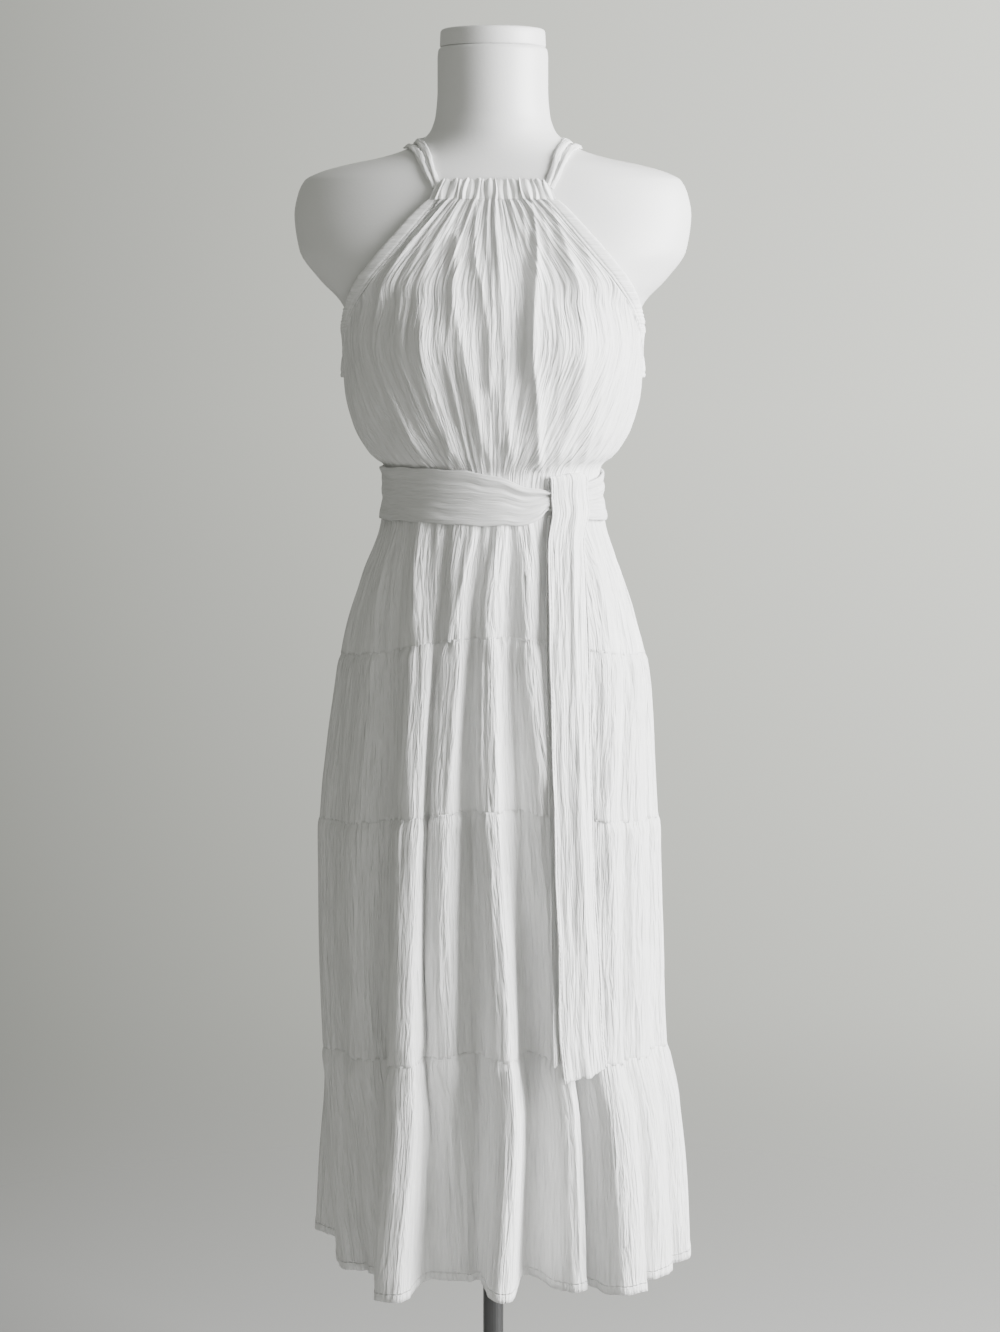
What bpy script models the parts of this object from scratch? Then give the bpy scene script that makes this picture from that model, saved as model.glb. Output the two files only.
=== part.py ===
"""White halter maxi dress in four gathered tiers, worn by a limbless dress form on its stand.

Metres, +Z up. The front faces -Y and the wearer's left side is at +X. The origin is on the
floor, under the middle of the pole. Every cloth piece is an open surface lofted through
sections, given its thickness by Solidify. Tables are in millimetres and degrees.

An angle round the body is measured from the front, towards +X: 0 is the middle of the front,
90 the +X side and 180 the middle of the back.
"""

import math

import bmesh
import bpy
import numpy as np
from mathutils import Vector
from mathutils.bvhtree import BVHTree

MM = 0.001

# Driving sizes
SEAM_GAP = 0.3 * MM
SKIRT_CLOTH = 1.5 * MM
# How far the skirt's outer face stays off the form
SKIRT_CLEAR = 5.5 * MM
BODICE_CLOTH = 1.3 * MM
BELT_CLOTH = 2.4 * MM
TAIL_CLOTH = 1.2 * MM
BINDING_CLOTH = 1.9 * MM
STRAP_RADIUS = 2.5 * MM
STRAP_OFF_FORM = 1.0 * MM
WAIST_Z = 1115 * MM
CASING_TOP_Z = 1418 * MM
CASING_FOOT_Z = 1398 * MM
CASING_HALF = 57 * MM
UNDERARM_Z = 1272 * MM
BACK_BAND_FOOT_Z = 1228 * MM
TORSO_FOOT_Z = 840 * MM
NECK_TOP_Z = 1545 * MM
POLE_RADIUS = 10.5 * MM
BASE_RADIUS = 165 * MM
NECK_GATHERS = 14
# Half the gap of a side seam, in degrees
SIDE_SEAM = 0.16
# The heights of the rows beside the armholes, shared by the front and its bindings
ARMHOLE_LEVELS = [1397.7, 1380, 1357, 1334, 1312, 1295, 1282, 1272.3]
GATHERS_PER_FOLD = 2


def table(columns, rows):
    """A table as named columns of floats."""
    values = np.array(rows, float)
    return {name: values[:, i] for i, name in enumerate(columns.split())}


# The dress form: half width, depth to the front and depth to the back at each height.
FORM = table(
    "height half_width front back",
    [
        (840, 141, 92, 104),
        (862, 147, 98, 112),
        (905, 148, 100, 117),
        (950, 142, 98, 113),
        (1005, 130, 92, 101),
        (1050, 115, 85, 86),
        (1085, 103, 81, 76),
        (1115, 98.5, 79, 73),
        (1142, 101, 80.5, 73),
        (1165, 105, 83, 75),
        (1200, 116, 89, 80),
        (1235, 128, 96, 87),
        (1262, 136, 100, 92),
        (1285, 141, 100, 95),
        (1302, 149, 98, 96),
        (1323, 169, 95, 96),
        (1352, 189, 90, 95),
        (1386, 193.5, 80, 90),
        (1405, 190, 75, 86),
        (1419, 183, 70.5, 82),
        (1427, 167, 68, 80),
        (1434, 141, 66, 78),
        (1441, 107, 64, 75),
        (1448, 86.5, 62, 72),
        (1456, 72.5, 60, 68),
        (1467, 62, 58.5, 62),
        (1482, 57, 55.5, 57),
        (1505, 54.5, 54.5, 54.5),
        (1535, 53.5, 53.5, 53.5),
        (1545, 52.5, 52.5, 52.5),
    ],
)
BUST = {"height": 1262, "reach": 42, "apart": 70, "spread": 46, "form": 20, "cloth": 15}

# The bodice, outside of the cloth, at each height.
BODICE = table(
    "height half_width front back",
    [
        (1115, 104.5, 85.5, 78.5),
        (1138, 106, 87.5, 79.5),
        (1144, 109.5, 91, 81),
        (1150, 117.5, 97, 84),
        (1158, 125, 102, 87),
        (1181, 137.5, 109, 91),
        (1216, 146, 112, 95),
        (1260, 148.5, 111, 98),
        (1275, 149.5, 110, 99),
        (1299, 154, 107, 101),
        (1323, 176, 103, 102),
        (1352, 195, 96.5, 101),
        (1386, 199, 86.5, 96),
        (1405, 195.5, 81, 92),
        (1420, 188, 76.5, 88),
    ],
)

# The armhole: how far out its edge runs, and how wide its binding is along a level line.
ARMHOLE = table(
    "height reach binding",
    [
        (1272, 149.3, 4),
        (1285, 147.5, 8),
        (1297, 144.5, 11),
        (1320, 133, 16),
        (1349, 110, 18),
        (1370, 91, 17),
        (1390, 72, 15),
        (1398, 63, 13),
    ],
)

# The skirt's outer form. A level is 0 at the waist, then 1, 2 and 3 at the tier seams and 4 at the hem.
SKIRT = table(
    "level half_width front back shift",
    [
        (0.0, 104, 85, 78.5, 0),
        (0.2, 109, 91, 85, -1),
        (0.5, 127, 104, 104, -1),
        (0.75, 140.5, 111, 118, -1),
        (1.0, 150, 117, 127, 0),
        (1.5, 160.5, 127, 138, -2),
        (2.0, 167.5, 135, 146, -4),
        (2.5, 172.5, 141, 151, -4),
        (3.0, 176, 146, 154, -3),
        (3.25, 183, 149, 157, 2),
        (3.6, 189, 151, 160, 4),
        (4.0, 192, 152, 163, 5),
    ],
)
SEAMS = table(
    "level front side back",
    [
        (0, 1115, 1115, 1115),
        (1, 984, 955, 965),
        (2, 818, 789, 797),
        (3, 575, 552, 559),
        (4, 337, 329, 333),
    ],
)

# The skirt's folds, from the middle of the back by way of the right-hand side of the wearer.
# The angle of each crest at the waist, at the three seams and at the hem, half the crest's
# width, how far the crest and the valley after it stand out at the middle seam and at the hem
# as a share of the outer form, and where that valley lies between its two crests at the hem.
FOLDS = table(
    "waist seam1 seam2 seam3 hem half_width crest_mid crest_hem valley_mid valley_hem valley_at",
    [
        (-162, -163, -164, -163, -160, 4.0, 1.00, 1.03, 0.91, 0.74, 0.50),
        (-138, -139, -139, -139, -138, 3.5, 1.00, 0.99, 0.92, 0.76, 0.52),
        (-112, -112, -113, -113, -114, 4.0, 1.00, 1.10, 0.94, 0.80, 0.45),
        (-85, -88, -90, -88, -78, 6.0, 1.01, 0.87, 0.95, 0.77, 0.36),
        (-68, -61, -57, -58, -57, 5.0, 1.00, 0.80, 0.89, 0.77, 0.30),
        (-45, -34, -30.5, -31.5, -36.5, 4.5, 1.05, 1.11, 0.92, 0.70, -0.06),
        (-14, -18, -19, -20.5, -22.5, 3.5, 1.01, 0.66, 0.87, 0.63, 0.44),
        (4, -2, 1, 6, 1, 3.0, 1.02, 1.00, 0.86, 0.58, 0.55),
        (19, 17.5, 24, 30, 33.5, 2.5, 1.01, 0.91, 0.87, 0.79, 0.46),
        (59, 56, 49.5, 46.5, 48, 4.4, 1.03, 1.07, 0.93, 0.90, 0.50),
        (78, 75, 70, 67, 68, 4.0, 0.99, 0.99, 0.95, 0.88, 0.55),
        (92, 90, 90, 90, 89, 5.0, 1.01, 1.02, 0.94, 0.83, 0.55),
        (116, 114, 113, 113, 114, 4.0, 1.00, 1.00, 0.92, 0.77, 0.48),
        (138, 137, 136, 137, 138, 3.5, 1.00, 1.04, 0.91, 0.73, 0.52),
        (158, 158, 158, 158, 157, 3.0, 1.00, 0.98, 0.92, 0.75, 0.50),
        (179, 178, 177, 178, 179, 3.5, 1.00, 1.04, 0.91, 0.74, 0.50),
    ],
)

# Long ridges of the gathered front: where each lies across the panel at the neck, the bust and
# the waist, from -1 at one edge to 1 at the other, and how high and how wide it is.
RIDGES = table(
    "neck bust waist height width",
    [
        (-0.88, -0.83, -0.66, 3.0, 0.040),
        (-0.55, -0.52, -0.36, 2.6, 0.045),
        (-0.33, -0.27, -0.10, 3.6, 0.055),
        (-0.17, -0.06, 0.00, 2.4, 0.035),
        (0.08, 0.07, 0.13, 2.6, 0.030),
        (0.38, 0.28, 0.34, 4.2, 0.035),
        (0.72, 0.62, 0.50, 3.4, 0.045),
        (0.93, 0.86, 0.72, 2.4, 0.050),
    ],
)

# The belt's upper and lower edge round the waist. It is pinched at 30 degrees, in its knot.
BELT = table(
    "angle top foot",
    [
        (-180, 1139, 1090),
        (-90, 1141, 1090),
        (-45, 1141, 1092),
        (-18, 1138, 1091),
        (5, 1132, 1090.5),
        (20, 1125, 1095),
        (30, 1121, 1107),
        (42, 1126, 1101),
        (56, 1129, 1093),
        (82, 1134, 1089),
        (110, 1138, 1090),
        (180, 1139, 1090),
    ],
)

# The two hanging ends of the belt: where their edges lie at each height.
FRONT_TAIL = table(
    "height left right",
    [
        (554, 68.5, 111),
        (620, 63.5, 106.5),
        (700, 61.5, 101.5),
        (800, 58.5, 96),
        (900, 55.5, 94),
        (1000, 53.5, 91.5),
        (1080, 53, 88),
        (1125, 53, 87),
    ],
)
BACK_TAIL = table(
    "height left right",
    [
        (573, 58.5, 86),
        (620, 57.5, 86),
        (700, 56, 85),
        (800, 54, 84),
        (900, 52.5, 83),
        (1000, 51.5, 81),
        (1080, 52, 78),
        (1098, 53, 76),
    ],
)

# The two halter straps on the wearer's right side, from the neck casing over the shoulder to
# the middle of the nape: the route that each follows on the form.
LOWER_STRAP = [
    (-60.2, -76, 1411),
    (-73, -58, 1429),
    (-84.5, -24, 1444),
    (-86, 10, 1447),
    (-62, 55, 1455),
    (0, 76, 1458),
]
UPPER_STRAP = [
    (-54.5, -72, 1419),
    (-63.5, -55, 1434),
    (-72, -22, 1449),
    (-72, 10, 1455),
    (-52, 44, 1465),
    (0, 64, 1469),
]


def through(x, xs, ys):
    """A smooth curve through points, without overshoot (monotone cubic), read at x."""
    x = np.clip(np.asarray(x, float), xs[0], xs[-1])
    step = np.diff(xs)
    slope = np.diff(ys) / step
    tangent = np.zeros(len(xs))
    inner = slope[1:] * slope[:-1] > 0
    steep = 2 * slope[1:] * slope[:-1] / np.where(inner, slope[1:] + slope[:-1], 1)
    tangent[1:-1] = np.where(inner, steep, 0)
    tangent[0], tangent[-1] = slope[0], slope[-1]
    i = np.clip(np.searchsorted(xs, x, side="right") - 1, 0, len(xs) - 2)
    t = (x - xs[i]) / step[i]
    h00, h10 = 2 * t**3 - 3 * t**2 + 1, t**3 - 2 * t**2 + t
    h01, h11 = 3 * t**2 - 2 * t**3, t**3 - t**2
    return h00 * ys[i] + h10 * step[i] * tangent[i] + h01 * ys[i + 1] + h11 * step[i] * tangent[i + 1]


def read(source, key, at, value):
    """A table's column read at a key: heights in metres, or levels, or degrees."""
    scale = MM if key == "height" else 1.0
    return through(np.asarray(at, float) / scale, source[key], source[value])


def fade(x, full, gone):
    """1 at full, 0 at gone and beyond, smoothly between them."""
    t = np.clip((np.asarray(x, float) - gone) / (full - gone), 0, 1)
    return t * t * (3 - 2 * t)


def body_point(source, angle, z, bust):
    """A point of an oval section with its own depth in front and behind, and a soft bust."""
    a = np.radians(angle)
    x = read(source, "height", z, "half_width") * np.sin(a)
    front = read(source, "height", z, "front")
    back = read(source, "height", z, "back")
    y = -np.cos(a) * np.where(np.cos(a) > 0, front, back)
    rise = np.exp(-(((np.asarray(z) / MM - BUST["height"]) / BUST["reach"]) ** 2))
    mounds = sum(np.exp(-(((x - side * BUST["apart"]) / BUST["spread"]) ** 2)) for side in (-1, 1))
    y = y - bust * rise * mounds * np.clip(np.cos(a) * 3, 0, 1)
    return np.stack(np.broadcast_arrays(x * MM, y * MM, np.asarray(z, float)), axis=-1)


def seam_height(level, angle):
    """The height of a level of the skirt. Seams ride higher in front than at the sides."""
    c = np.cos(angle)
    side = read(SEAMS, "level", level, "side")
    end = np.where(c > 0, read(SEAMS, "level", level, "front"), read(SEAMS, "level", level, "back"))
    return (side + (end - side) * c * c) * MM


def fold_controls(level):
    """The closed run of control points, crest, crest, valley, of the skirt's section at a level."""
    stations = np.array([0.0, 1, 2, 3, 4])
    columns = np.array([FOLDS[k] for k in ("waist", "seam1", "seam2", "seam3", "hem")])
    crest = np.array([through(level, stations, column) for column in columns.T])
    ends = np.array([0.0, 2, 4])
    count = len(crest)

    def share(name, at_waist):
        rows = zip(FOLDS[name + "_mid"], FOLDS[name + "_hem"])
        return np.array([through(level, ends, np.array([at_waist, mid, hem])) for mid, hem in rows])

    crest_share, valley_share = share("crest", 1.0), share("valley", 0.985)
    following = np.append(crest[1:], crest[0] + 360)
    place = 0.5 + (FOLDS["valley_at"] - 0.5) * (level / 4) ** 1.5
    half = FOLDS["half_width"] * (0.55 + 0.45 * level / 4)
    angle = np.empty(count * 3)
    out = np.empty(count * 3)
    angle[0::3], out[0::3] = crest - half, crest_share
    angle[1::3], out[1::3] = crest + half, crest_share
    angle[2::3], out[2::3] = crest + place * (following - crest), valley_share
    a = np.radians(angle)
    depth = np.where(
        np.cos(a) > 0, read(SKIRT, "level", level, "front"), read(SKIRT, "level", level, "back")
    )
    half_width = read(SKIRT, "level", level, "half_width")
    radius = out / np.sqrt((np.sin(a) / half_width) ** 2 + (np.cos(a) / depth) ** 2)
    x = radius * np.sin(a) + read(SKIRT, "level", level, "shift")
    return np.stack([x, -radius * np.cos(a)], axis=1) * MM


def closed_curve(points, samples):
    """A centripetal Catmull-Rom curve through a closed run, with that many samples per span."""
    p0, p1, p2, p3 = (np.roll(points, k, axis=0) for k in (1, 0, -1, -2))
    spans = ((p0, p1), (p1, p2), (p2, p3))
    t01, t12, t23 = (np.linalg.norm(b - a, axis=1)[:, None] ** 0.5 for a, b in spans)
    m1 = p2 - p1 + t12 * ((p1 - p0) / t01 - (p2 - p0) / (t01 + t12))
    m2 = p2 - p1 + t12 * ((p3 - p2) / t23 - (p3 - p1) / (t12 + t23))
    t = (np.arange(samples) / samples)[None, :, None]
    h00, h10, h01, h11 = 2 * t**3 - 3 * t**2 + 1, t**3 - 2 * t**2 + t, 3 * t**2 - 2 * t**3, t**3 - t**2
    return h00 * p1[:, None] + h10 * m1[:, None] + h01 * p2[:, None] + h11 * m2[:, None]


def outward(section):
    """The outward unit normals of a closed horizontal section."""
    along = np.roll(section, -1, axis=0) - np.roll(section, 1, axis=0)
    return np.stack([along[:, 1], -along[:, 0]], axis=1) / np.linalg.norm(along, axis=1)[:, None]


def skirt_section(level, per_fold, gather):
    """The skirt's section at a level, with the same number of columns in every fold.

    gather is how deep the small gathers are. They stand inside the outer form.
    """
    samples = 6
    spans = np.roll(closed_curve(fold_controls(level), samples), 1, axis=0).reshape(-1, 3, samples, 2)
    # A fold runs from the valley before its crest, along the crest, to the valley after it.
    side_steps = (per_fold - 2) // 2
    rise, crest, fall = (spans[:, k, :: samples // n] for k, n in enumerate((side_steps, 2, side_steps)))
    section = np.concatenate([rise, crest, fall], axis=1).reshape(-1, 2)
    phase = np.arange(len(section)) / per_fold * GATHERS_PER_FOLD * 2 * math.pi
    section = section - outward(section) * (gather * (0.5 - 0.5 * np.cos(phase)))[:, None]
    angle = np.arctan2(section[:, 0], -section[:, 1])
    z = seam_height(level, angle)
    width = read(FORM, "height", z, "half_width") * MM
    front, back = (read(FORM, "height", z, side) * MM for side in ("front", "back"))
    depth = np.where(np.cos(angle) > 0, front, back)
    least = 1 / np.sqrt((np.sin(angle) / width) ** 2 + (np.cos(angle) / depth) ** 2) + SKIRT_CLEAR
    least = least * fade(z, TORSO_FOOT_Z - 5 * MM, TORSO_FOOT_Z - 60 * MM)
    radius = np.linalg.norm(section, axis=1)
    section = section * (np.maximum(radius, least) / radius)[:, None]
    return np.column_stack([section, z])


def skirt_form(x, z):
    """How far forward the skirt's outer form stands at x and z, for what hangs over it."""
    level = through(-z, -SEAMS["front"] * MM, SEAMS["level"])
    half_width = read(SKIRT, "level", level, "half_width") * MM
    depth = read(SKIRT, "level", level, "front") * MM
    across = np.clip((x - read(SKIRT, "level", level, "shift") * MM) / half_width, -1, 1)
    return -depth * np.sqrt(1 - across**2)


def material(name, colour, roughness, metallic=0.0):
    made = bpy.data.materials.new(name)
    made.use_nodes = True
    shader = made.node_tree.nodes["Principled BSDF"]
    shader.inputs["Base Color"].default_value = (*colour, 1)
    shader.inputs["Roughness"].default_value = roughness
    shader.inputs["Metallic"].default_value = metallic
    return made


def add_object(name, mesh, finish):
    made = bpy.data.objects.new(name, mesh)
    made.data.materials.append(finish)
    parts.objects.link(made)
    return made


def loft(name, rows, finish, closed=True, capped=False):
    """A surface through rows of points, top row first, facing out."""
    count, width = rows.shape[:2]
    mesh = bmesh.new()
    grid = [[mesh.verts.new(point) for point in row] for row in rows]
    for upper, lower in zip(grid, grid[1:]):
        for i in range(width if closed else width - 1):
            j = (i + 1) % width
            mesh.faces.new((upper[i], lower[i], lower[j], upper[j]))
    if capped:
        mesh.faces.new(grid[0])
        mesh.faces.new(reversed(grid[-1]))
    data = bpy.data.meshes.new(name)
    mesh.to_mesh(data)
    mesh.free()
    data.shade_smooth()
    return add_object(name, data, finish)


def cloth(name, rows, thickness, finish, closed=True):
    """A wall of cloth. The rows are its outer face, and its rims are level, so that seams meet."""
    if closed:
        along = np.roll(rows, -1, axis=1) - np.roll(rows, 1, axis=1)
    else:
        along = np.gradient(rows, axis=1)
    out = np.stack([along[..., 1], -along[..., 0], np.zeros(rows.shape[:2])], axis=-1)
    inner = rows - out / np.linalg.norm(out, axis=-1, keepdims=True) * thickness
    count, width = rows.shape[:2]
    mesh = bmesh.new()
    faces = [[[mesh.verts.new(point) for point in row] for row in face] for face in (rows, inner)]
    outer, inner = faces
    spans = width if closed else width - 1
    for i in range(spans):
        j = (i + 1) % width
        for k in range(count - 1):
            mesh.faces.new((outer[k][i], outer[k + 1][i], outer[k + 1][j], outer[k][j]))
            mesh.faces.new((inner[k][j], inner[k + 1][j], inner[k + 1][i], inner[k][i]))
        mesh.faces.new((outer[0][j], inner[0][j], inner[0][i], outer[0][i]))
        mesh.faces.new((outer[-1][i], inner[-1][i], inner[-1][j], outer[-1][j]))
    if not closed:
        for k in range(count - 1):
            mesh.faces.new((outer[k][0], inner[k][0], inner[k + 1][0], outer[k + 1][0]))
            mesh.faces.new((outer[k + 1][-1], inner[k + 1][-1], inner[k][-1], outer[k][-1]))
    data = bpy.data.meshes.new(name)
    mesh.to_mesh(data)
    mesh.free()
    data.shade_smooth()
    data.set_sharp_from_angle(angle=math.radians(50))
    return add_object(name, data, finish)


def hanging_sheet(name, rows, thickness, finish):
    """A strip of cloth that hangs free, with the rows along its middle."""
    made = loft(name, rows, finish, closed=False)
    wall = made.modifiers.new("Cloth", "SOLIDIFY")
    wall.thickness = thickness
    wall.offset = 0
    return made


def turned(name, profile, steps, finish):
    """A turned solid. Its profile runs from the axis down its outer side and back to the axis."""
    mesh = bpy.data.meshes.new(name)
    points = [(r * MM, 0, z * MM) for r, z in profile]
    mesh.from_pydata(points, [(i, i + 1) for i in range(len(points) - 1)], [])
    made = add_object(name, mesh, finish)
    screw = made.modifiers.new("Turn", "SCREW")
    screw.steps = screw.render_steps = steps
    screw.use_merge_vertices = True
    screw.merge_threshold = 0.0001
    return made


def form_torso():
    """The limbless torso of the dress form, from its foot to the top of its neck."""
    columns = 32
    heights = []
    for low, high in zip(FORM["height"], FORM["height"][1:]):
        halves = 2 if high - low > 44 else 1
        heights += list(np.linspace(low, high, halves, endpoint=False))
    heights = np.array(heights[::-1]) * MM
    heights = np.concatenate([[NECK_TOP_Z], heights])
    angles = np.arange(columns) * 360 / columns
    rows = np.array([body_point(FORM, angles, z, BUST["form"]) for z in heights])
    return loft("form_torso", rows, white_shell, capped=True)


def form_and_stand():
    torso = form_torso()
    cap_foot = NECK_TOP_Z / MM + 0.3
    turned(
        "form_neck_cap",
        [
            (0, cap_foot + 17),
            (49, cap_foot + 17),
            (50.6, cap_foot + 15.4),
            (50.8, cap_foot),
            (0, cap_foot),
        ],
        28,
        white_shell,
    )
    pole, top = POLE_RADIUS / MM, TORSO_FOOT_Z / MM - 0.3
    turned(
        "stand_pole",
        [
            (0, top),
            (36, top),
            (36, top - 4),
            (14, top - 6),
            (14, top - 30),
            (pole, top - 31),
            (pole, 34.3),
            (0, 34.3),
        ],
        24,
        steel,
    )
    base = BASE_RADIUS / MM
    turned(
        "stand_base",
        [
            (0, 34),
            (17, 34),
            (19, 32),
            (19, 13),
            (24, 9),
            (base - 8, 7),
            (base - 1, 5),
            (base, 3),
            (base, 0),
            (0, 0),
        ],
        36,
        steel,
    )
    return torso


def skirt_tiers():
    """Four gathered tiers, each sewn under the one above it."""
    # For each tier: the columns in a fold, and how deep the gathers are at its top.
    plans = {1: (6, 1.6 * MM), 2: (6, 1.5 * MM), 3: (8, 3.0 * MM), 4: (8, 4.0 * MM)}
    for tier, (per_fold, gather) in plans.items():
        rows = []
        for t in (0.0, 0.2, 0.55, 1.0):
            level = tier - 1 + t
            row = skirt_section(level, per_fold, gather * float(fade(t, 0.0, 0.6)))
            if t == 0.0:
                row[:, 2] -= SEAM_GAP
            rows.append(row)
        cloth(f"skirt_tier_{tier}", np.array(rows), SKIRT_CLOTH, gauze)


def armhole_angle(z):
    """The angle of the armhole's edge at a height, and of its binding's inner edge."""
    half_width = read(BODICE, "height", z, "half_width")
    reach = np.minimum(read(ARMHOLE, "height", z, "reach"), half_width)
    inner = reach - read(ARMHOLE, "height", z, "binding")
    return np.degrees(np.arcsin(reach / half_width)), np.degrees(np.arcsin(inner / half_width))


def front_relief(across, z):
    """How far the front's gathers and ridges stand out, in metres."""
    neck = fade(z, CASING_FOOT_Z, 1325 * MM)
    waist = fade(z, 1150 * MM, 1215 * MM)
    wave = 0.5 + 0.5 * np.cos(across * math.pi * NECK_GATHERS)
    inside = 1 - fade(np.abs(across), 1.0, 0.9)
    relief = (2.2 * neck + 1.6 * waist) * wave * inside
    for i in range(len(RIDGES["neck"])):
        stations = np.array([WAIST_Z, BUST["height"] * MM, CASING_FOOT_Z])
        place = through(z, stations, np.array([RIDGES[k][i] for k in ("waist", "bust", "neck")]))
        away = (across - place) / RIDGES["width"][i]
        relief = relief + RIDGES["height"][i] * np.exp(-(away**2)) * inside
    calm = fade(z, 1150 * MM, 1140 * MM)
    return relief * (0.25 + 0.75 * calm) * MM


def bodice_front():
    """The gathered front, from the casing at the neck to the waist seam."""
    columns = NECK_GATHERS * 3 + 1
    heights = np.array(ARMHOLE_LEVELS + [1268, 1240, 1200, 1168, 1151, 1138, 1115]) * MM
    across = np.linspace(-1, 1, columns)
    rows = []
    for z in heights:
        if z > UNDERARM_Z:
            edge = armhole_angle(z)[1] - 0.2
        else:
            edge = 90 - SIDE_SEAM
        point = body_point(BODICE, across * edge, z, BUST["cloth"])
        out = np.stack([np.sin(np.radians(across * edge)), -np.cos(np.radians(across * edge))], axis=1)
        within = -1.4 * MM * fade(z, 1138 * MM, 1146 * MM)
        point[:, :2] += out * (front_relief(across, z) + within)[:, None]
        rows.append(point)
    cloth("bodice_front", np.array(rows), BODICE_CLOTH, gauze, closed=False)


def bodice_back():
    """The gathered back, below its elastic band."""
    columns = 33
    heights = np.array([1227.7, 1200, 1168, 1151, 1138, 1115]) * MM
    angles = np.linspace(90 + SIDE_SEAM, 270 - SIDE_SEAM, columns)
    rows = []
    for z in heights:
        point = body_point(BODICE, angles, z, 0)
        out = np.stack([np.sin(np.radians(angles)), -np.cos(np.radians(angles))], axis=1)
        wave = 0.5 - 0.5 * np.cos(np.linspace(0, 2 * math.pi * 8, columns))
        point[:, :2] -= out * (wave * 1.6 * MM)[:, None]
        rows.append(point)
    cloth("bodice_back", np.array(rows), BODICE_CLOTH, gauze, closed=False)


def back_band():
    """The elastic casing along the top of the back. Its lower corners stand a little proud."""
    columns = 33
    angles = np.linspace(90 + 2 * SIDE_SEAM, 270 - 2 * SIDE_SEAM, columns)
    corner = fade(np.abs(angles - 180), 90, 62)
    rows = []
    for z, proud in ((UNDERARM_Z, 0.2), (1250 * MM, 2.2), (BACK_BAND_FOOT_Z, 4.6)):
        point = body_point(BODICE, angles, np.full(columns, z), 0)
        out = np.stack([np.sin(np.radians(angles)), -np.cos(np.radians(angles))], axis=1)
        wave = 0.5 - 0.5 * np.cos(np.linspace(0, 2 * math.pi * 8, columns))
        point[:, :2] += out * ((proud * corner - wave * 1.6) * MM)[:, None]
        rows.append(point)
    cloth("back_band", np.array(rows), 1.6 * MM, gauze, closed=False)


def armhole_bindings():
    """The bias binding along each armhole edge, from the casing to the side seam."""
    heights = np.array(ARMHOLE_LEVELS) * MM
    for name, side in (("armhole_binding_right", -1), ("armhole_binding_left", 1)):
        rows = []
        for z in heights:
            edge, inner = armhole_angle(z)
            ends = (-edge, -inner - 0.2) if side < 0 else (inner + 0.2, edge)
            angles = np.linspace(*ends, 3)
            point = body_point(BODICE, angles, z, BUST["cloth"])
            out = np.stack([np.sin(np.radians(angles)), -np.cos(np.radians(angles))], axis=1)
            point[:, :2] += out * 0.6 * MM
            rows.append(point)
        cloth(name, np.array(rows), BINDING_CLOTH, gauze, closed=False)


def neck_casing():
    """The casing that the straps run through, gathered up tight: a flat tube bunched on its cord."""
    columns = NECK_GATHERS * 3 + 1
    across = np.linspace(-1, 1, columns)
    x = across * CASING_HALF
    height = CASING_TOP_Z - CASING_FOOT_Z
    middle = (CASING_TOP_Z + CASING_FOOT_Z) / 2
    half_width = read(BODICE, "height", middle, "half_width") * MM
    wave = 0.5 + 0.5 * np.cos(across * math.pi * NECK_GATHERS)
    rows = []
    # Round the tube from its top: how far along its height, how far out, and how deep its gathers.
    section = [
        (0.5, -1.0, 0.4),
        (0.42, 0.6, 0.8),
        (-0.42, 0.6, 1.0),
        (-0.5, -1.0, 0.3),
        (-0.42, -3.6, 0),
        (0.42, -3.6, 0),
    ]
    for up, out, gathered in section:
        z = np.full(columns, middle + up * height)
        angle = np.degrees(np.arcsin(x / half_width))
        point = body_point(BODICE, angle, z, 0)
        point[:, 0] = x
        point[:, 1] -= (out + gathered * wave * 2.0) * MM
        rows.append(point)
    rings = np.array(rows[::-1]).transpose(1, 0, 2)
    loft("neck_casing", rings, gauze, capped=True)


def strap(name, route, torso_surface):
    """A rolled strap that lies on the form, from one end of the casing round the nape to the other."""
    half = [Vector(point) * MM for point in route]
    whole = half + [Vector((-p.x, p.y, p.z)) for p in reversed(half[:-1])]
    points = np.array([tuple(p) for p in whole])
    first, last = 2 * points[0] - points[1], 2 * points[-1] - points[-2]
    padded = np.vstack([first, points, last])
    steps = 4
    t = (np.arange(steps) / steps)[:, None]
    line = []
    for p0, p1, p2, p3 in zip(padded, padded[1:], padded[2:], padded[3:]):
        square, cube = 2 * p0 - 5 * p1 + 4 * p2 - p3, 3 * p1 - p0 - 3 * p2 + p3
        line += list(0.5 * (2 * p1 + (p2 - p0) * t + square * t**2 + cube * t**3))
    line.append(points[-1])
    curve = bpy.data.curves.new(name, "CURVE")
    curve.dimensions = "3D"
    curve.bevel_depth = STRAP_RADIUS
    curve.bevel_resolution = 2
    curve.use_fill_caps = True
    spline = curve.splines.new("POLY")
    spline.points.add(len(line) - 1)
    for place, point in zip(spline.points, line):
        on_form, normal, _, _ = torso_surface.find_nearest(Vector(point))
        place.co = (*(on_form + normal * (STRAP_RADIUS + STRAP_OFF_FORM)), 1)
    return add_object(name, curve, gauze)


def belt_point(angle, z, out):
    """A point outside the waist's cloth by out. The cloth there is the bodice's and the skirt's."""
    waist = body_point(BODICE, angle, np.minimum(np.maximum(z, WAIST_Z), 1139 * MM), 0)
    flare = 4.8 * MM * fade(z, 1088 * MM, 1112 * MM) + 2.2 * MM * fade(z, 1142 * MM, 1132 * MM)
    a = np.radians(angle)
    move = out + flare
    x, y = waist[..., 0] + np.sin(a) * move, waist[..., 1] - np.cos(a) * move
    return np.stack(np.broadcast_arrays(x, y, z), axis=-1)


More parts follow.
